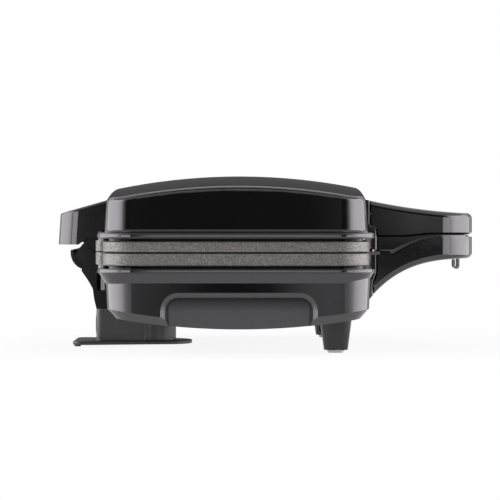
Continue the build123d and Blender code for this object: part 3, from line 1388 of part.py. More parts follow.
def pillars(upper):
    """Square pillars from the housing's roof or floor to the far side of the heat shield."""
    way = 1 if upper else -1
    height = sorted((shield_height(upper) + way * SHIELD_THICK, CROWN_Z if upper else BELLY_Z))
    skin = crown(SHELL / 2) if upper else belly(SHELL / 2)
    made = []
    for x in (BODY_X - POST_X, BODY_X + POST_X):
        for y in (-POST_Y, POST_Y):
            post = block((x - PILLAR_HALF, x + PILLAR_HALF), (y - PILLAR_HALF, y + PILLAR_HALF), height)
            made.append(post & skin)
    return made


def upper_housing():
    """The lid's outer shell with all that is moulded on it."""
    form = lid_form()
    outer = joined(form, housing_ears(UPPER_RIM_Z, 1, UPPER_RIM_THICK))
    pad = rear_pad(UPPER_RIM_Z + UPPER_RIM_THICK, COVER_FRONT_Z + SCREW_SINK, COVER_HALF + 1)
    outer = outer + (pad & crown(2)) + collar(True)
    shell = (outer - lid_room()) + ring_rib(UPPER_RIM_Z, 1, WALL_LENGTH, WALL_WIDTH, WALL_CORNER, BODY_X)
    shell = joined(shell, pillars(True) + [seat & form for seat in screw_seats(True)])
    shell = cut_away(shell, handle_bores(True, COLLAR_BEND) + ear_bores(UPPER_RIM_Z, 1))
    middle = (ARM_IN + ARM_OUT) / 2
    return cut_away(shell, arm_screw_bores(middle) + arm_screw_bores(-middle))


def lower_housing():
    """The base's outer shell with all that is moulded on it."""
    form = base_form()
    outer = joined(form, housing_ears(LOWER_RIM_Z, -1, LOWER_RIM_THICK) + corner_posts())
    outer = outer + rear_pad(CRADLE_FOOT_Z, LOWER_RIM_Z - LOWER_RIM_THICK, CRADLE_HALF) + collar(False)
    shell = (outer - base_room()) + ring_rib(LOWER_RIM_Z, -1, BASE_LENGTH, WALL_WIDTH, WALL_CORNER, BASE_X)
    shell = joined(shell, pillars(False) + terminal_seats() + [seat & form for seat in screw_seats(False)])
    return cut_away(shell, handle_bores(False, COLLAR_BEND) + ear_bores(LOWER_RIM_Z, -1))


NODES = {
    "upper_housing": upper_housing,
    "upper_plate": lambda: cooking_plate(True),
    "upper_heater": lambda: heater(True),
    "upper_heat_shield": lambda: heat_shield(True),
    "upper_plate_screws": lambda: plate_screws(True),
    "upper_handle": upper_handle,
    "upper_handle_liner": upper_handle_liner,
    "upper_handle_screws": lambda: handle_screw_set(True, UPPER_BITE),
    "hinge_cover": hinge_cover,
    "hinge_arms": hinge_arms,
    "hinge_arm_screws": arm_screws,
    "power_lens": lambda: lens(lens_places()[0]),
    "ready_lens": lambda: lens(lens_places()[1]),
    "lamp_holder": lamp_holder,
    "indicator_lamps": lamps,
    "thermostat": thermostat,
    "latch_hook": latch,
    "latch_pin": latch_pin,
    "lower_housing": lower_housing,
    "lower_plate": lambda: cooking_plate(False),
    "lower_heater": lambda: heater(False),
    "lower_heat_shield": lambda: heat_shield(False),
    "lower_plate_screws": lambda: plate_screws(False),
    "lower_handle": lower_handle,
    "lower_handle_liner": lower_handle_liner,
    "lower_handle_screws": lambda: handle_screw_set(False, LOWER_BITE),
    "hinge_cradle": hinge_cradle,
    "hinge_pins": hinge_pins,
    "thermal_fuse": thermal_fuse,
    "terminal_block": terminal_block,
    "cord_store_column": cord_store_column,
    "cord_store_plate": lambda: cut_away(cord_store_plate(), store_screw_bores()),
    "cord_store_screws": store_screws,
    "cord_gland": cord_gland,
    "front_feet": feet,
    "front_foot_pads": foot_pads,
    "rear_foot_pads": rear_pads,
}

for node, make in NODES.items():
    save(node, make())
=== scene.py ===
from math import atan, cos, radians, sin

import bpy
from bpy.props import FloatProperty, FloatVectorProperty, IntProperty, PointerProperty
from mathutils import Euler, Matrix

bl_info = {
    "name": "Sandwich maker finishes",
    "version": (1, 0, 0),
    "blender": (4, 5, 0),
    "location": "View3D > Sidebar > Sandwich maker",
    "description": "Finishes of a hinged sandwich maker, and the studio it is shown in",
    "category": "Object",
}

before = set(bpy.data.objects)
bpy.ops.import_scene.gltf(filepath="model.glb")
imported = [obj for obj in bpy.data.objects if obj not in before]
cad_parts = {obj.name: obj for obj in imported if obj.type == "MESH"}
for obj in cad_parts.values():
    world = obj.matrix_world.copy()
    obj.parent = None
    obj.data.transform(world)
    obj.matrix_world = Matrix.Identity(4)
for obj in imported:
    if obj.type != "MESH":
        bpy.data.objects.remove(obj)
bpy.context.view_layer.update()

SMOOTH_ANGLE = radians(32)

# Tints of the glossy black's reflections, in the open and where light hardly comes in
GLOSS_TINT = (1.0, 0.965, 1.0)
DEEP_TINT = (0.04, 0.04, 0.04)

# Recesses in the base's sides, in metres: their middle and half length along X, their top and its soft edge
RECESS_X = -0.0163
RECESS_HALF = 0.0445
RECESS_TOP = 0.0353
RECESS_FADE = 0.0005

# Half width of the wall that the recesses are sunk in, in metres at height 0 and per metre of height
WALL_FOOT = 0.11014
WALL_DRAFT = 0.05241

# Depths below that wall, in metres, between which the recesses' satin texture and their shade come in
SATIN_DEPTHS = (0.0001, 0.00025)
SHADE_DEPTHS = (0.0017, 0.00265)

# Heights in metres between which that shade grows from nothing to its full share
SHADE_HEIGHTS = (0.0245, 0.0325)
SHADE_SHARE = 0.85

# The housings' rims and the ribs between them and the plates, in metres
LID_RIM_Z = 0.0658
BASE_RIM_Z = 0.0488
RIB_X = -0.018
RIB_HALF_X = 0.0735
RIB_HALF_Y = 0.111
RIB_START = (0.00002, 0.0001)
RIB_FADE = 0.0003

# The painted shade in the line where the plates meet, in metres: middle, half height, fade, and half widths
# where it begins
PARTING_Z = 0.0578
PARTING_HALF = 0.0003
PARTING_FADE = 0.0003
PARTING_EDGE = (0.1127, 0.1132)

# Share of the coating's colour that is left in that line of painted shade
PARTING_SHADE = 0.1

# Random numbers of the coating's grains between which they turn into specks
SPECK_RANGE = (0.45, 0.95)

# The camera's sensor in millimetres, its reach in metres and the photograph's frame in pixels
SENSOR_WIDTH = 36.0
CAMERA_REACH = 200.0
PHOTO_WIDTH = 500
PHOTO_MIDDLE_ROW = 250

# Strength at which the background is white
WHITE = 1.0

# Studio cards: bearings of their ends and heights of their two edges in degrees, and distance in metres
CARD_PLACES = {
    "softbox_left": ((-22, -126), (-3, 38), 2.6),
    "softbox_left_low": ((-4.6, -126), (-22, -3), 2.6),
    "softbox_right": ((22, 126), (0.7, 38), 2.6),
    "softbox_right_low": (((4.2, 126), (12, 126)), (-22, 0.7), 2.6),
    "softbox_top": ((150, 210), (45, 84), 1.6),
    "dark_card": ((-22, 22), (-26, 12), 3.0),
    "dark_card_middle": ((-40, 40), (12, 28.3), 3.0),
    "grey_card_high": ((-40, 40), (28.3, 45), 3.0),
    "grey_card_top": ((-40, 40), (45, 62.5), 3.0),
    "dark_card_top": ((-40, 40), (62.5, 86), 3.0),
    "grey_card_low": ((-4.5, 3.6), (-15, -3), 2.7),
    "grey_card_right": ((14.2, 18.6), (-2.5, 4.5), 2.7),
    "dark_card_right": ((13.6, 18.6), (-0.9, 0.82), 2.45),
    "grey_card_rim": ((-4.0, 3.1), (-0.9, 1.7), 2.6),
    "softbox_hood": ((-7.7, -34), (-4, 4.5), 2.5),
    "softbox_tip": ((18.6, 40), (-6, 4.5), 2.5),
    "dark_card_back": ((148, 212), (-4, 21), 1.7),
}


# Shader helpers

class Finish:
    """A material and the nodes that are being put into it."""

    def __init__(self, name):
        self.material = bpy.data.materials.new(name)
        self.material.use_nodes = True
        self.nodes = self.material.node_tree.nodes
        self.links = self.material.node_tree.links
        self.shader = self.nodes["Principled BSDF"]
        self.place = self.nodes.new("ShaderNodeTexCoord").outputs["Object"]
        self.sides = None

    def plain(self, **values):
        """Set the shader's own sockets; an underscore in a name stands for a space."""
        for name, value in values.items():
            self.shader.inputs[name.replace("_", " ")].default_value = value

    def feed(self, socket, output):
        """Link another node's output to one of the shader's sockets."""
        self.links.new(output, self.shader.inputs[socket])

    def fed(self, socket):
        """The output that one of the shader's sockets is linked to."""
        return self.shader.inputs[socket].links[0].from_socket

    def node(self, kind, **settings):
        """A new node with some of its settings."""
        made = self.nodes.new(kind)
        for name, value in settings.items():
            setattr(made, name, value)
        return made

    def put(self, value, socket):
        """Put another node's output, a number or a colour into a node's socket."""
        if isinstance(value, bpy.types.NodeSocket):
            self.links.new(value, socket)
        elif isinstance(value, (int, float)):
            socket.default_value = value
        else:
            socket.default_value = (*value, 1)

    def noise(self, scale, detail=2.0, stretch=(1, 1, 1)):
        """A noise of so many waves per metre, in the object's own frame."""
        mapping = self.node("ShaderNodeMapping")
        mapping.inputs["Scale"].default_value = stretch
        self.links.new(self.place, mapping.inputs["Vector"])
        noise = self.node("ShaderNodeTexNoise")
        noise.inputs["Scale"].default_value = scale
        noise.inputs["Detail"].default_value = detail
        self.links.new(mapping.outputs["Vector"], noise.inputs["Vector"])
        return noise.outputs["Fac"]

    def grains(self, scale):
        """Cells of so many per metre: a random number in each."""
        cells = self.node("ShaderNodeTexVoronoi", feature="F1")
        cells.inputs["Scale"].default_value = scale
        self.links.new(self.place, cells.inputs["Vector"])
        grey = self.node("ShaderNodeSeparateColor")
        self.links.new(cells.outputs["Color"], grey.inputs["Color"])
        return grey.outputs["Red"]

    def spread(self, value, low, high, start=0.3, end=0.7, way="LINEAR"):
        """A value from low to high as another goes from start to end, which by default suit a noise."""
        ramp = self.node("ShaderNodeMapRange", interpolation_type=way)
        ramp.inputs["From Min"].default_value = start
        ramp.inputs["From Max"].default_value = end
        ramp.inputs["To Min"].default_value = low
        ramp.inputs["To Max"].default_value = high
        self.links.new(value, ramp.inputs["Value"])
        return ramp.outputs["Result"]

    def blend(self, share, first, second):
        """One colour where the share is none, another where it is one."""
        mix = self.node("ShaderNodeMix", data_type="RGBA")
        self.put(first, mix.inputs["A"])
        self.put(second, mix.inputs["B"])
        self.put(share, mix.inputs["Factor"])
        return mix.outputs["Result"]

    def side(self, axis):
        """One coordinate in the object's own frame."""
        if self.sides is None:
            self.sides = self.node("ShaderNodeSeparateXYZ")
            self.links.new(self.place, self.sides.inputs["Vector"])
        return self.sides.outputs[axis]

    def maths(self, operation, *values):
        """A calculation on numbers and other nodes' outputs."""
        step = self.node("ShaderNodeMath", operation=operation)
        for socket, value in zip(step.inputs, values):
            self.put(value, socket)
        return step.outputs["Value"]

    def times(self, first, second):
        """The product of two values."""
        return self.maths("MULTIPLY", first, second)

    def off(self, axis, middle):
        """The distance from some place along one axis, to either side."""
        return self.maths("ABSOLUTE", self.maths("SUBTRACT", self.side(axis), middle))

    def between(self, share, first, second):
        """One number where the share is none, another where it is one."""
        rest = self.maths("SUBTRACT", 1.0, share)
        return self.maths("ADD", self.times(rest, first), self.times(share, second))

    def relief(self, height, depth):
        """A bump of so many metres, on top of any that is there."""
        bump = self.node("ShaderNodeBump")
        bump.inputs["Distance"].default_value = depth
        self.links.new(height, bump.inputs["Height"])
        taken = self.shader.inputs["Normal"].links
        if taken:
            self.links.new(taken[0].from_socket, bump.inputs["Normal"])
        self.feed("Normal", bump.outputs["Normal"])


def shares_of(number, *shares):
    """A number times each of some shares."""
    return [number * share for share in shares]


def shaded(colour, factor):
    """A colour made lighter or darker, but nowhere above one."""
    return tuple(min(1.0, channel * factor) for channel in colour)


def textured(name, colour, tones, cloud, grain, roughness, bumps, depth, **values):
    """A finish whose colour, roughness and relief each follow a noise of their own.

    The tones are the shares of the colour that it runs between. Cloud, grain and bumps give the noises for
    colour, roughness and relief: the waves per metre, the detail, and how each is stretched, if it is.
    """
    finish = Finish(name)
    finish.plain(**values)
    dark, light = [shaded(colour, tone) for tone in tones]
    finish.feed("Base Color", finish.blend(finish.noise(*cloud), dark, light))
    finish.feed("Roughness", finish.spread(finish.noise(*grain), *roughness))
    finish.relief(finish.noise(*bumps), depth)
    return finish


def recess_mask(finish, depths):
    """One inside the recesses of the base's sides, from some depth below the wall's drafted face on."""
    across = finish.maths("ABSOLUTE", finish.side("Y"))
    wall = finish.maths("MULTIPLY_ADD", finish.side("Z"), WALL_DRAFT, WALL_FOOT)
    sunk = finish.spread(finish.maths("SUBTRACT", wall, across), 0.0, 1.0, *depths)
    along = finish.spread(finish.off("X", RECESS_X), 1.0, 0.0, RECESS_HALF, RECESS_HALF + RECESS_FADE)
    under = finish.spread(finish.side("Z"), 1.0, 0.0, RECESS_TOP, RECESS_TOP + RECESS_FADE)
    return finish.times(finish.times(sunk, along), under)


def rib_mask(finish, rim_z):
    """One on a housing's rib, past its rim towards the plates and within the plates' outline."""
    way = 1.0 if rim_z < PARTING_Z else -1.0
    past = finish.times(finish.maths("SUBTRACT", finish.side("Z"), rim_z), way)
    mask = finish.spread(past, 0.0, 1.0, *RIB_START)
    for axis, middle, half in (("X", RIB_X, RIB_HALF_X), ("Y", 0.0, RIB_HALF_Y)):
        mask = finish.times(mask, finish.spread(finish.off(axis, middle), 1.0, 0.0, half, half + RIB_FADE))
    return mask


def gloss_shade(finish, *masks):
    """Take nearly all of the gloss away where a mask is one, for places where light hardly comes in."""
    total = masks[0]
    for mask in masks[1:]:
        total = finish.maths("MAXIMUM", total, mask)
    finish.feed("Specular Tint", finish.blend(total, GLOSS_TINT, DEEP_TINT))


def finish_nodes(finish, *names):
    """Give CAD nodes one finish all over, and shade their rounded faces smooth."""
    for name in names:
        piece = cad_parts[name]
        piece.data.materials.clear()
        piece.data.materials.append(finish.material)
        piece.data.shade_smooth()
        piece.data.set_sharp_from_angle(angle=SMOOTH_ANGLE)


# What a user would change

class MouldingSettings(bpy.types.PropertyGroup):
    black: FloatVectorProperty(name="Black", description="Colour of the glossy mouldings", subtype="COLOR",
                               default=(0.003, 0.003, 0.0033))
    gloss: FloatProperty(name="Gloss roughness", description="Roughness of the glossy mouldings",
                         default=0.055, min=0, max=1, subtype="FACTOR")
    satin: FloatProperty(name="Satin roughness", description="Roughness of the front feet",
                         default=0.33, min=0, max=1, subtype="FACTOR")
    recess: FloatProperty(name="Recess roughness", description="Roughness of the recesses in the base",
                          default=0.34, min=0, max=1, subtype="FACTOR")
    store_grey: FloatVectorProperty(name="Cord store", description="Colour of the cord store",
                                    subtype="COLOR", default=(0.022, 0.022, 0.023))
    cream: FloatVectorProperty(name="Cream", description="Colour of the lamp holder and the terminal block",
                               subtype="COLOR", default=(0.68, 0.64, 0.55))


class PlateSettings(bpy.types.PropertyGroup):
    coating: FloatVectorProperty(name="Coating", description="Colour of the non-stick coating",
                                 subtype="COLOR", default=(0.085, 0.078, 0.076))
    speck: FloatVectorProperty(name="Speck", description="Colour of the specks in the coating",
                               subtype="COLOR", default=(0.19, 0.174, 0.17))
    specks: IntProperty(name="Specks per metre", description="How fine the specks are",
                        default=2100, min=100)


class MetalSettings(bpy.types.PropertyGroup):
    bright: FloatVectorProperty(name="Bright steel", description="Colour of the latch and the pins",
                                subtype="COLOR", default=(0.46, 0.46, 0.47))
    zinc: FloatVectorProperty(name="Zinc", description="Colour of the screws",
                              subtype="COLOR", default=(0.55, 0.55, 0.57))
    sheath: FloatVectorProperty(name="Sheath", description="Colour of the tubular heaters",
                                subtype="COLOR", default=(0.2, 0.19, 0.18))
    sheet: FloatVectorProperty(name="Sheet", description="Colour of the heat shields and the controls",
                               subtype="COLOR", default=(0.62, 0.62, 0.63))


class LampSettings(bpy.types.PropertyGroup):
    power: FloatVectorProperty(name="Power lens", description="Colour of the power lens",
                               subtype="COLOR", default=(0.5, 0.015, 0.01))
    ready: FloatVectorProperty(name="Ready lens", description="Colour of the ready lens",
                               subtype="COLOR", default=(0.01, 0.3, 0.05))


class RubberSettings(bpy.types.PropertyGroup):
    pad: FloatVectorProperty(name="Front pads", description="Colour of the front pads",
                             subtype="COLOR", default=(0.68, 0.67, 0.62))
    black: FloatVectorProperty(name="Black rubber", description="Colour of the gland and the rear pads",
                               subtype="COLOR", default=(0.02, 0.02, 0.02))


class StudioSettings(bpy.types.PropertyGroup):
    sides: FloatProperty(name="Side softboxes", description="Brightness of the softboxes left and right",
                         default=4.8, min=0)
    top: FloatProperty(name="Top softbox", description="Brightness of the softbox overhead",
                       default=1.6, min=0)
    front_card: FloatProperty(name="Front cards", description="Brightness of the dark cards in front",
                              default=0.02, min=0)
    front_edge: FloatProperty(name="Front bands", description="Brightness of the grey bands in front",
                              default=0.42, min=0)
    high_card: FloatProperty(name="High cards", description="Brightness of the grey cards high up in front",
                             default=0.9, min=0)
    rim_card: FloatProperty(name="Rim card", description="Brightness of the card that the rims mirror",
                            default=1.6, min=0)
    back_card: FloatProperty(name="Back card", description="Brightness of the dark card behind the object",
                             default=0.1, min=0)
    room: FloatProperty(name="Room", description="Brightness of the rest of the studio",
                        default=0.6, min=0)
    floor: FloatVectorProperty(name="Floor", description="Colour of the floor",
                               subtype="COLOR", default=(0.8, 0.8, 0.8))
    shadow: FloatProperty(name="Shadow share", description="Share of the floor's white that light makes",
                          default=0.1, min=0, max=1, subtype="FACTOR")
    floor_left: FloatProperty(name="Floor left", description="Left end of the floor",
                              default=-0.19, unit="LENGTH")
    floor_right: FloatProperty(name="Floor right", description="Right end of the floor",
                               default=0.19, unit="LENGTH")
    floor_near: FloatProperty(name="Floor near", description="End of the floor towards the camera",
                              default=-0.172, unit="LENGTH")
    floor_far: FloatProperty(name="Floor far", description="End of the floor behind the object",
                             default=0.3, unit="LENGTH")
    floor_fade: FloatProperty(name="Floor fade", description="Width of the edge where the shadow fades out",
                              default=0.05, unit="LENGTH")
    eye: FloatVectorProperty(name="Eye", description="Place of the camera", subtype="TRANSLATION",
                             unit="LENGTH", default=(-0.0101, -1.485, 0.082))
    focal: FloatProperty(name="Focal length", description="In pixels of the photograph's frame",
                         default=2435.0)
    horizon_row: FloatProperty(name="Horizon row", description="Row of the horizon in that frame",
                               default=210.0)


# Finishes of the pieces

def gloss_black(name, settings):
    """Glossy black plastic with a faint cloud, a little uneven in gloss."""
    return textured(name, settings.black, tones=(0.85, 1.2), cloud=(14.0, 3.0), grain=(160.0, 4.0),
                    roughness=shares_of(settings.gloss, 0.85, 1.2), bumps=(900.0, 1.0), depth=0.0000022,
                    IOR=1.75, Specular_Tint=(*GLOSS_TINT, 1))


class GlossShells(bpy.types.Operator):
    """Finish the lid, the handles with their liners and the hinge's mouldings in glossy black"""
    bl_idname = "sandwich_maker.gloss_shells"
    bl_label = "Glossy shells"

    def execute(self, context):
        settings = context.scene.maker_mouldings
        finish_nodes(gloss_black("gloss_black_moulding", settings), "upper_handle", "lower_handle",
                     "hinge_cover", "upper_handle_liner", "lower_handle_liner", "hinge_cradle", "hinge_arms")
        lid = gloss_black("gloss_black_lid", settings)
        # Painted shade: the gloss is taken away on the lid's rib between its rim and the plates
        gloss_shade(lid, rib_mask(lid, LID_RIM_Z))
        finish_nodes(lid, "upper_housing")
        return {"FINISHED"}


class BaseShell(bpy.types.Operator):
    """Finish the base in glossy black, with a satin texture in the recesses of its sides"""
    bl_idname = "sandwich_maker.base_shell"
    bl_label = "Base shell"

    def execute(self, context):
        settings = context.scene.maker_mouldings
        finish = gloss_black("gloss_black_base", settings)
        recess = recess_mask(finish, SATIN_DEPTHS)
        grain = finish.noise(1500.0, 3.0)
        satin = finish.blend(grain, shaded(settings.black, 1.8), shaded(settings.black, 3.0))
        rough = finish.spread(grain, *shares_of(settings.recess, 0.85, 1.15))
        finish.feed("Base Color", finish.blend(recess, finish.fed("Base Color"), satin))
        finish.feed("Roughness", finish.between(recess, finish.fed("Roughness"), rough))
        # Painted shade: the gloss is taken away on the base's rib and deep in the recesses, growing towards
        # their top
        growth = finish.spread(finish.side("Z"), 0.0, SHADE_SHARE, *SHADE_HEIGHTS)
        shade = finish.times(recess_mask(finish, SHADE_DEPTHS), growth)
        gloss_shade(finish, rib_mask(finish, BASE_RIM_Z), shade)
        finish.relief(finish.times(recess, finish.noise(1300.0, 3.0)), depth=0.00002)
        finish_nodes(finish, "lower_housing")
        return {"FINISHED"}


class SatinMouldings(bpy.types.Operator):
    """Finish the front feet in satin black"""
    bl_idname = "sandwich_maker.satin_mouldings"
    bl_label = "Satin mouldings"

    def execute(self, context):
        settings = context.scene.maker_mouldings
        finish = textured("satin_black_moulding", settings.black, tones=(1.3, 1.9), cloud=(30.0, 3.0),
                          grain=(400.0, 3.0), roughness=shares_of(settings.satin, 0.85, 1.15),
                          bumps=(2600.0, 2.0), depth=0.00001, IOR=1.5)
        finish_nodes(finish, "front_feet")
        return {"FINISHED"}


class CordStore(bpy.types.Operator):
    """Finish the cord store's column and plate in textured dark grey"""
    bl_idname = "sandwich_maker.cord_store"
    bl_label = "Cord store"

    def execute(self, context):
        settings = context.scene.maker_mouldings
        finish = textured("textured_grey_moulding", settings.store_grey, tones=(0.88, 1.12),
                          cloud=(40.0, 3.0), grain=(700.0, 2.0), roughness=(0.3, 0.42),
                          bumps=(3200.0, 2.0), depth=0.00002, IOR=1.5)
        finish_nodes(finish, "cord_store_column", "cord_store_plate")
        return {"FINISHED"}


class CookingPlates(bpy.types.Operator):
    """Finish the cast cooking plates in a speckled non-stick coating, with painted shade in the line where
    they meet
    """
    bl_idname = "sandwich_maker.cooking_plates"
    bl_label = "Cooking plates"

    def execute(self, context):
        settings = context.scene.maker_plates
        finish = Finish("speckled_coating")
        finish.plain(Metallic=0.35, IOR=1.5)
        specks = finish.spread(finish.grains(settings.specks), 0.0, 1.0, *SPECK_RANGE)
        open_coating = finish.blend(specks, settings.coating, settings.speck)
        # Painted shade: the coating and its specks darkened in the line where the plates meet
        parting_painted_shade = finish.blend(specks, shaded(settings.coating, PARTING_SHADE),
                                       shaded(settings.speck, PARTING_SHADE))
        above_or_below = finish.spread(finish.off("Z", PARTING_Z), 0.0, 1.0, PARTING_HALF,
                                       PARTING_HALF + PARTING_FADE)
        inwards = finish.spread(finish.maths("ABSOLUTE", finish.side("Y")), 1.0, 0.0, *PARTING_EDGE)
        away = finish.maths("MAXIMUM", above_or_below, inwards)
        finish.feed("Base Color", finish.blend(away, parting_painted_shade, open_coating))
        finish.feed("Roughness", finish.spread(finish.noise(1200.0), 0.3, 0.46))
        finish.relief(finish.noise(1700.0, 3.0), depth=0.00003)
        finish.relief(finish.noise(90.0), depth=0.000012)
        finish_nodes(finish, "upper_plate", "lower_plate")
        return {"FINISHED"}


class LatchAndPins(bpy.types.Operator):
    """Finish the latch hook, its pin and the hinge pins in bright steel"""
    bl_idname = "sandwich_maker.latch_and_pins"
    bl_label = "Latch and pins"

    def execute(self, context):
        settings = context.scene.maker_metals
        drawn = (1, 0.1, 1)
        finish = textured("bright_plated_steel", settings.bright, tones=(0.9, 1.0), cloud=(200.0, 3.0),
                          grain=(900.0, 2.0, drawn), roughness=(0.16, 0.28),
                          bumps=(2400.0, 2.0, drawn), depth=0.000004, Metallic=1.0)
        finish_nodes(finish, "latch_hook", "latch_pin", "hinge_pins")
        return {"FINISHED"}


class Screws(bpy.types.Operator):
    """Finish every screw in zinc-plated steel"""
    bl_idname = "sandwich_maker.screws"
    bl_label = "Screws"

    def execute(self, context):
        settings = context.scene.maker_metals
        finish = textured("zinc_plated_screws", settings.zinc, tones=(0.8, 1.1), cloud=(350.0, 3.0),
                          grain=(900.0, 2.0), roughness=(0.26, 0.42),
                          bumps=(1500.0, 2.0), depth=0.00001, Metallic=1.0)
        finish_nodes(finish, "upper_plate_screws", "lower_plate_screws", "upper_handle_screws",
                     "lower_handle_screws", "hinge_arm_screws", "cord_store_screws")
        return {"FINISHED"}


class Heating(bpy.types.Operator):
    """Finish the tubular heaters in a heat-darkened sheath"""
    bl_idname = "sandwich_maker.heating"
    bl_label = "Heaters"

    def execute(self, context):
        settings = context.scene.maker_metals
        finish = textured("heater_sheath", settings.sheath, tones=(0.6, 1.35), cloud=(45.0, 3.0),
                          grain=(600.0, 3.0), roughness=(0.4, 0.58),
                          bumps=(1400.0, 2.0), depth=0.00001, Metallic=1.0)
        finish_nodes(finish, "upper_heater", "lower_heater")
        return {"FINISHED"}


class SheetMetal(bpy.types.Operator):
    """Finish the heat shields, thermostat and thermal fuse in plain sheet metal"""
    bl_idname = "sandwich_maker.sheet_metal"
    bl_label = "Shields and controls"

    def execute(self, context):
        settings = context.scene.maker_metals
        rolled = (500.0, 3.0, (0.04, 1, 1))
        finish = textured("mill_finish_sheet", settings.sheet, tones=(0.85, 1.0), cloud=rolled, grain=rolled,
                          roughness=(0.24, 0.4), bumps=rolled, depth=0.000008, Metallic=1.0)
        finish_nodes(finish, "upper_heat_shield", "lower_heat_shield", "thermostat", "thermal_fuse")
        return {"FINISHED"}


class PaleMouldings(bpy.types.Operator):
    """Finish the lamp holder and the terminal block in cream plastic"""
    bl_idname = "sandwich_maker.pale_mouldings"
    bl_label = "Pale mouldings"

    def execute(self, context):
        settings = context.scene.maker_mouldings
        finish = textured("cream_moulding", settings.cream, tones=(0.94, 1.0), cloud=(60.0, 3.0),
                          grain=(500.0, 2.0), roughness=(0.34, 0.46),
                          bumps=(1800.0, 2.0), depth=0.00001, IOR=1.5)
        finish_nodes(finish, "lamp_holder", "terminal_block")
        return {"FINISHED"}


class Lamps(bpy.types.Operator):
    """Finish the two lenses and the lamps behind them"""
    bl_idname = "sandwich_maker.lamps"
    bl_label = "Lenses and lamps"

    def execute(self, context):
        settings = context.scene.maker_lamps
        ribbed = (0, 1, 0)
        for name, colour in (("power_lens", settings.power), ("ready_lens", settings.ready)):
            lens = textured(f"tinted_{name}", colour, tones=(0.75, 1.1), cloud=(300.0, 2.0),
                            grain=(900.0, 2.0), roughness=(0.06, 0.12),
                            bumps=(700.0, 0.0, ribbed), depth=0.00005, IOR=1.49, Transmission_Weight=0.35)
            finish_nodes(lens, name)
        glass = Finish("lamp_glass")
        glass.plain(IOR=1.5, Transmission_Weight=0.9)
        haze = glass.noise(500.0)
        glass.feed("Base Color", glass.blend(haze, (0.86, 0.82, 0.74), (0.95, 0.92, 0.86)))
        glass.feed("Roughness", glass.spread(haze, 0.04, 0.12))
        finish_nodes(glass, "indicator_lamps")
        return {"FINISHED"}


class RubberPieces(bpy.types.Operator):
    """Finish the foot pads and the gland in rubber"""
    bl_idname = "sandwich_maker.rubber_pieces"
    bl_label = "Rubber pieces"

    def execute(self, context):
        settings = context.scene.maker_rubber
        for name, colour, nodes in (("off_white_rubber", settings.pad, ["front_foot_pads"]),
                                    ("black_rubber", settings.black, ["cord_gland", "rear_foot_pads"])):
            finish = textured(name, colour, tones=(0.9, 1.05), cloud=(220.0, 3.0),
                              grain=(900.0, 2.0), roughness=(0.62, 0.78),
                              bumps=(2200.0, 2.0), depth=0.00002, IOR=1.5)
            finish_nodes(finish, *nodes)
        return {"FINISHED"}


# Stage

def seen_rays(tree):
    """One for the rays that show the background: from the camera, mirrored by gloss or through glass."""
    path = tree.nodes.new("ShaderNodeLightPath")
    seen = path.outputs["Is Camera Ray"]
    for kind in ("Is Glossy Ray", "Is Transmission Ray"):
        either = tree.nodes.new("ShaderNodeMath")
        either.operation = "MAXIMUM"
        tree.links.new(seen, either.inputs[0])
        tree.links.new(path.outputs[kind], either.inputs[1])
        seen = either.outputs["Value"]
    return seen


def studio_world(settings):
    """White where it is seen, and a dim even light for the rest."""
    world = bpy.data.worlds.new("studio")
    world.use_nodes = True
    tree = world.node_tree
    tree.nodes.clear()
    choose = tree.nodes.new("ShaderNodeMixShader")
    tree.links.new(seen_rays(tree), choose.inputs["Fac"])
    for socket, strength in ((1, settings.room), (2, WHITE)):
        background = tree.nodes.new("ShaderNodeBackground")
        background.inputs["Color"].default_value = (1, 1, 1, 1)
        background.inputs["Strength"].default_value = strength
        tree.links.new(background.outputs["Background"], choose.inputs[socket])
    tree.links.new(choose.outputs["Shader"], tree.nodes.new("ShaderNodeOutputWorld").inputs["Surface"])
    return world


def card_glows(settings):
    """The brightness of each card at even steps along its lower and its upper edge."""
    dark = settings.front_card
    edge = settings.front_edge
    box = shares_of(settings.sides, 0.0, 0.16, 0.68, 0.93, 1.0, 0.97, 0.9, 0.8, 0.7, 0.62)
    low_box = shares_of(settings.sides, 0.15, 0.22, 0.36, 0.7, 0.85, 0.95, 0.95, 0.9, 0.8, 0.7)
    hood = shares_of(settings.sides, 0.62, 0.64, 0.66, 0.7)
    tip = shares_of(settings.sides, 0.52, 0.56, 0.6, 0.66)
    top = [settings.top] * 2
    left_band = [dark * 2, edge, edge * 0.4]
    right_band = [edge * 0.5, edge, dark * 2]
    front = [dark] * 6 + left_band + [dark] * 4 + right_band + [dark] * 7
    dark_high = [dark] * 5
    high_foot = shares_of(settings.high_card, 0.6, 0.5, 0.5, 0.7, 0.8)
    high = [settings.high_card] * 5
    low_band = shares_of(edge, 0.7, 0.65, 0.5, 0.2, 0.05, 0.05, 0.05, 0.1, 0.9, 1.3, 1.5, 0.6)
    grip = [dark, edge * 0.5, edge, edge * 1.9, edge * 1.5, dark]
    rim = [settings.rim_card] * 4
    back = [settings.back_card] * 5
    return {
        "softbox_left": (box, box),
        "softbox_left_low": (low_box, low_box),
        "softbox_right": (box, box),
        "softbox_right_low": (low_box, low_box),
        "softbox_top": (top, top),
        "dark_card": (front, front),
        "dark_card_middle": (dark_high, dark_high),
        "grey_card_high": (high_foot, high),
        "grey_card_top": (high, high),
        "dark_card_top": (dark_high, dark_high),
        "grey_card_low": (low_band, low_band),
        "grey_card_right": ([dark] * 6, grip),
        "dark_card_right": ([edge * 0.4] * 3, [dark] * 3),
        "grey_card_rim": (rim, rim),
        "softbox_hood": (hood, hood),
        "softbox_tip": (tip, tip),
        "dark_card_back": (back, back),
    }


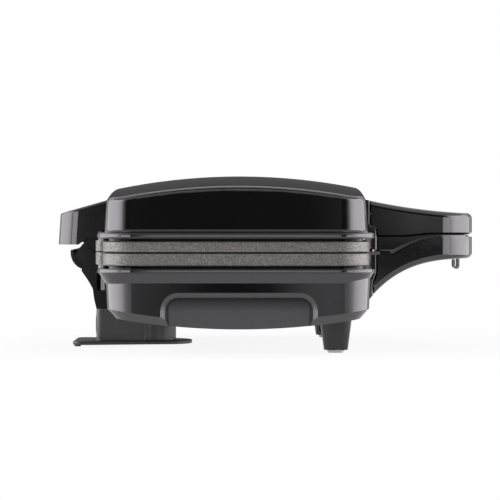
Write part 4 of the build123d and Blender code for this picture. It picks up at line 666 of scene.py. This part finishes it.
def studio_card(name, place, glow):
    """A curved card of the studio, bright or dark, that lights the object and shows only in its gloss.

    The place is the card's entry in CARD_PLACES. Its bearings are counted from the camera's side towards +X,
    and are two pairs where the lower and the upper edge differ. Its heights are counted from the horizon.
    """
    bearings, heights, distance = place
    if not isinstance(bearings[0], tuple):
        bearings = (bearings, bearings)
    steps = len(glow[0]) - 1
    points = []
    light = []
    for (first, last), height, row in zip(bearings, heights, glow):
        rise = radians(height)
        for step, value in enumerate(row):
            turn = radians(first + (last - first) * step / steps)
            out = distance * cos(rise)
            points.append((out * sin(turn), -out * cos(turn), distance * sin(rise)))
            light.append(value)
    mesh = bpy.data.meshes.new(name)
    mesh.from_pydata(points, [], [(at, at + 1, at + steps + 2, at + steps + 1) for at in range(steps)])
    glows = mesh.attributes.new("glow", "FLOAT", "POINT")
    glows.data.foreach_set("value", light)
    card = bpy.data.objects.new(name, mesh)
    card.visible_camera = False
    bpy.context.scene.collection.objects.link(card)
    finish = Finish(name)
    finish.plain(Base_Color=(0, 0, 0, 1), Specular_IOR_Level=0.0, Roughness=1.0, Emission_Color=(1, 1, 1, 1))
    strength = finish.node("ShaderNodeAttribute", attribute_name="glow")
    finish.feed("Emission Strength", strength.outputs["Fac"])
    card.data.materials.append(finish.material)


def studio_floor(settings):
    """A plain pale floor, white where it is seen, with the object's shadow, which fades out at its edge."""
    left = settings.floor_left
    right = settings.floor_right
    near = settings.floor_near
    far = settings.floor_far
    mesh = bpy.data.meshes.new("floor")
    corners = [(left, near, 0), (right, near, 0), (right, far, 0), (left, far, 0)]
    mesh.from_pydata(corners, [], [(0, 1, 2, 3)])
    floor = bpy.data.objects.new("floor", mesh)
    bpy.context.scene.collection.objects.link(floor)
    finish = Finish("pale_floor")
    finish.plain(Base_Color=(*settings.floor, 1), Roughness=0.9, Specular_IOR_Level=0.1)
    lit = settings.shadow
    for axis, low, high in (("X", left, right), ("Y", near, far)):
        for edge, inner in ((low, low + settings.floor_fade), (high, high - settings.floor_fade)):
            lit = finish.times(finish.spread(finish.side(axis), 0.0, 1.0, edge, inner, "SMOOTHSTEP"), lit)
    white = finish.times(seen_rays(finish.material.node_tree), finish.maths("SUBTRACT", 1.0, lit))
    mix = finish.node("ShaderNodeMixShader")
    finish.links.new(white, mix.inputs["Fac"])
    finish.links.new(finish.shader.outputs["BSDF"], mix.inputs[1])
    finish.links.new(finish.node("ShaderNodeEmission").outputs["Emission"], mix.inputs[2])
    finish.links.new(mix.outputs["Shader"], finish.nodes["Material Output"].inputs["Surface"])
    floor.data.materials.append(finish.material)


def photo_camera(settings):
    """A camera at the photograph's place, level but for the small tilt that lifts the horizon."""
    lens = bpy.data.cameras.new("photo_camera")
    lens.sensor_width = SENSOR_WIDTH
    lens.lens = settings.focal / PHOTO_WIDTH * SENSOR_WIDTH
    lens.clip_end = CAMERA_REACH
    camera = bpy.data.objects.new("photo_camera", lens)
    camera.location = settings.eye
    tilt = atan((PHOTO_MIDDLE_ROW - settings.horizon_row) / settings.focal)
    camera.rotation_euler = Euler((radians(90) - tilt, 0, 0))
    bpy.context.scene.collection.objects.link(camera)
    bpy.context.scene.camera = camera


class Stage(bpy.types.Operator):
    """Set up the floor, the studio light and the camera"""
    bl_idname = "sandwich_maker.stage"
    bl_label = "Stage"

    def execute(self, context):
        settings = context.scene.maker_studio
        context.scene.view_settings.view_transform = "Standard"
        context.scene.world = studio_world(settings)
        for name, glow in card_glows(settings).items():
            studio_card(name, CARD_PLACES[name], glow)
        studio_floor(settings)
        photo_camera(settings)
        return {"FINISHED"}


class SandwichMakerPanel(bpy.types.Panel):
    """Settings and buttons for the finishes and the stage"""
    bl_idname = "VIEW3D_PT_sandwich_maker"
    bl_label = "Sandwich maker"
    bl_space_type = "VIEW_3D"
    bl_region_type = "UI"
    bl_category = "Sandwich maker"

    def draw(self, context):
        for name in SETTINGS:
            box = self.layout.box()
            group = getattr(context.scene, name)
            for key in group.bl_rna.properties.keys():
                if key not in ("rna_type", "name"):
                    box.prop(group, key)
        for operator in OPERATORS:
            self.layout.operator(operator.bl_idname)


SETTINGS = {
    "maker_mouldings": MouldingSettings,
    "maker_plates": PlateSettings,
    "maker_metals": MetalSettings,
    "maker_lamps": LampSettings,
    "maker_rubber": RubberSettings,
    "maker_studio": StudioSettings,
}
OPERATORS = (GlossShells, BaseShell, SatinMouldings, CordStore, CookingPlates, LatchAndPins, Screws, Heating,
             SheetMetal, PaleMouldings, Lamps, RubberPieces, Stage)


def register():
    for name, group in SETTINGS.items():
        bpy.utils.register_class(group)
        setattr(bpy.types.Scene, name, PointerProperty(type=group))
    for operator in OPERATORS:
        bpy.utils.register_class(operator)
    bpy.utils.register_class(SandwichMakerPanel)


def unregister():
    bpy.utils.unregister_class(SandwichMakerPanel)
    for operator in reversed(OPERATORS):
        bpy.utils.unregister_class(operator)
    for name, group in reversed(SETTINGS.items()):
        delattr(bpy.types.Scene, name)
        bpy.utils.unregister_class(group)


def main():
    register()
    for operator in OPERATORS:
        family, action = operator.bl_idname.split(".")
        getattr(getattr(bpy.ops, family), action)()


if __name__ == "__main__":
    main()
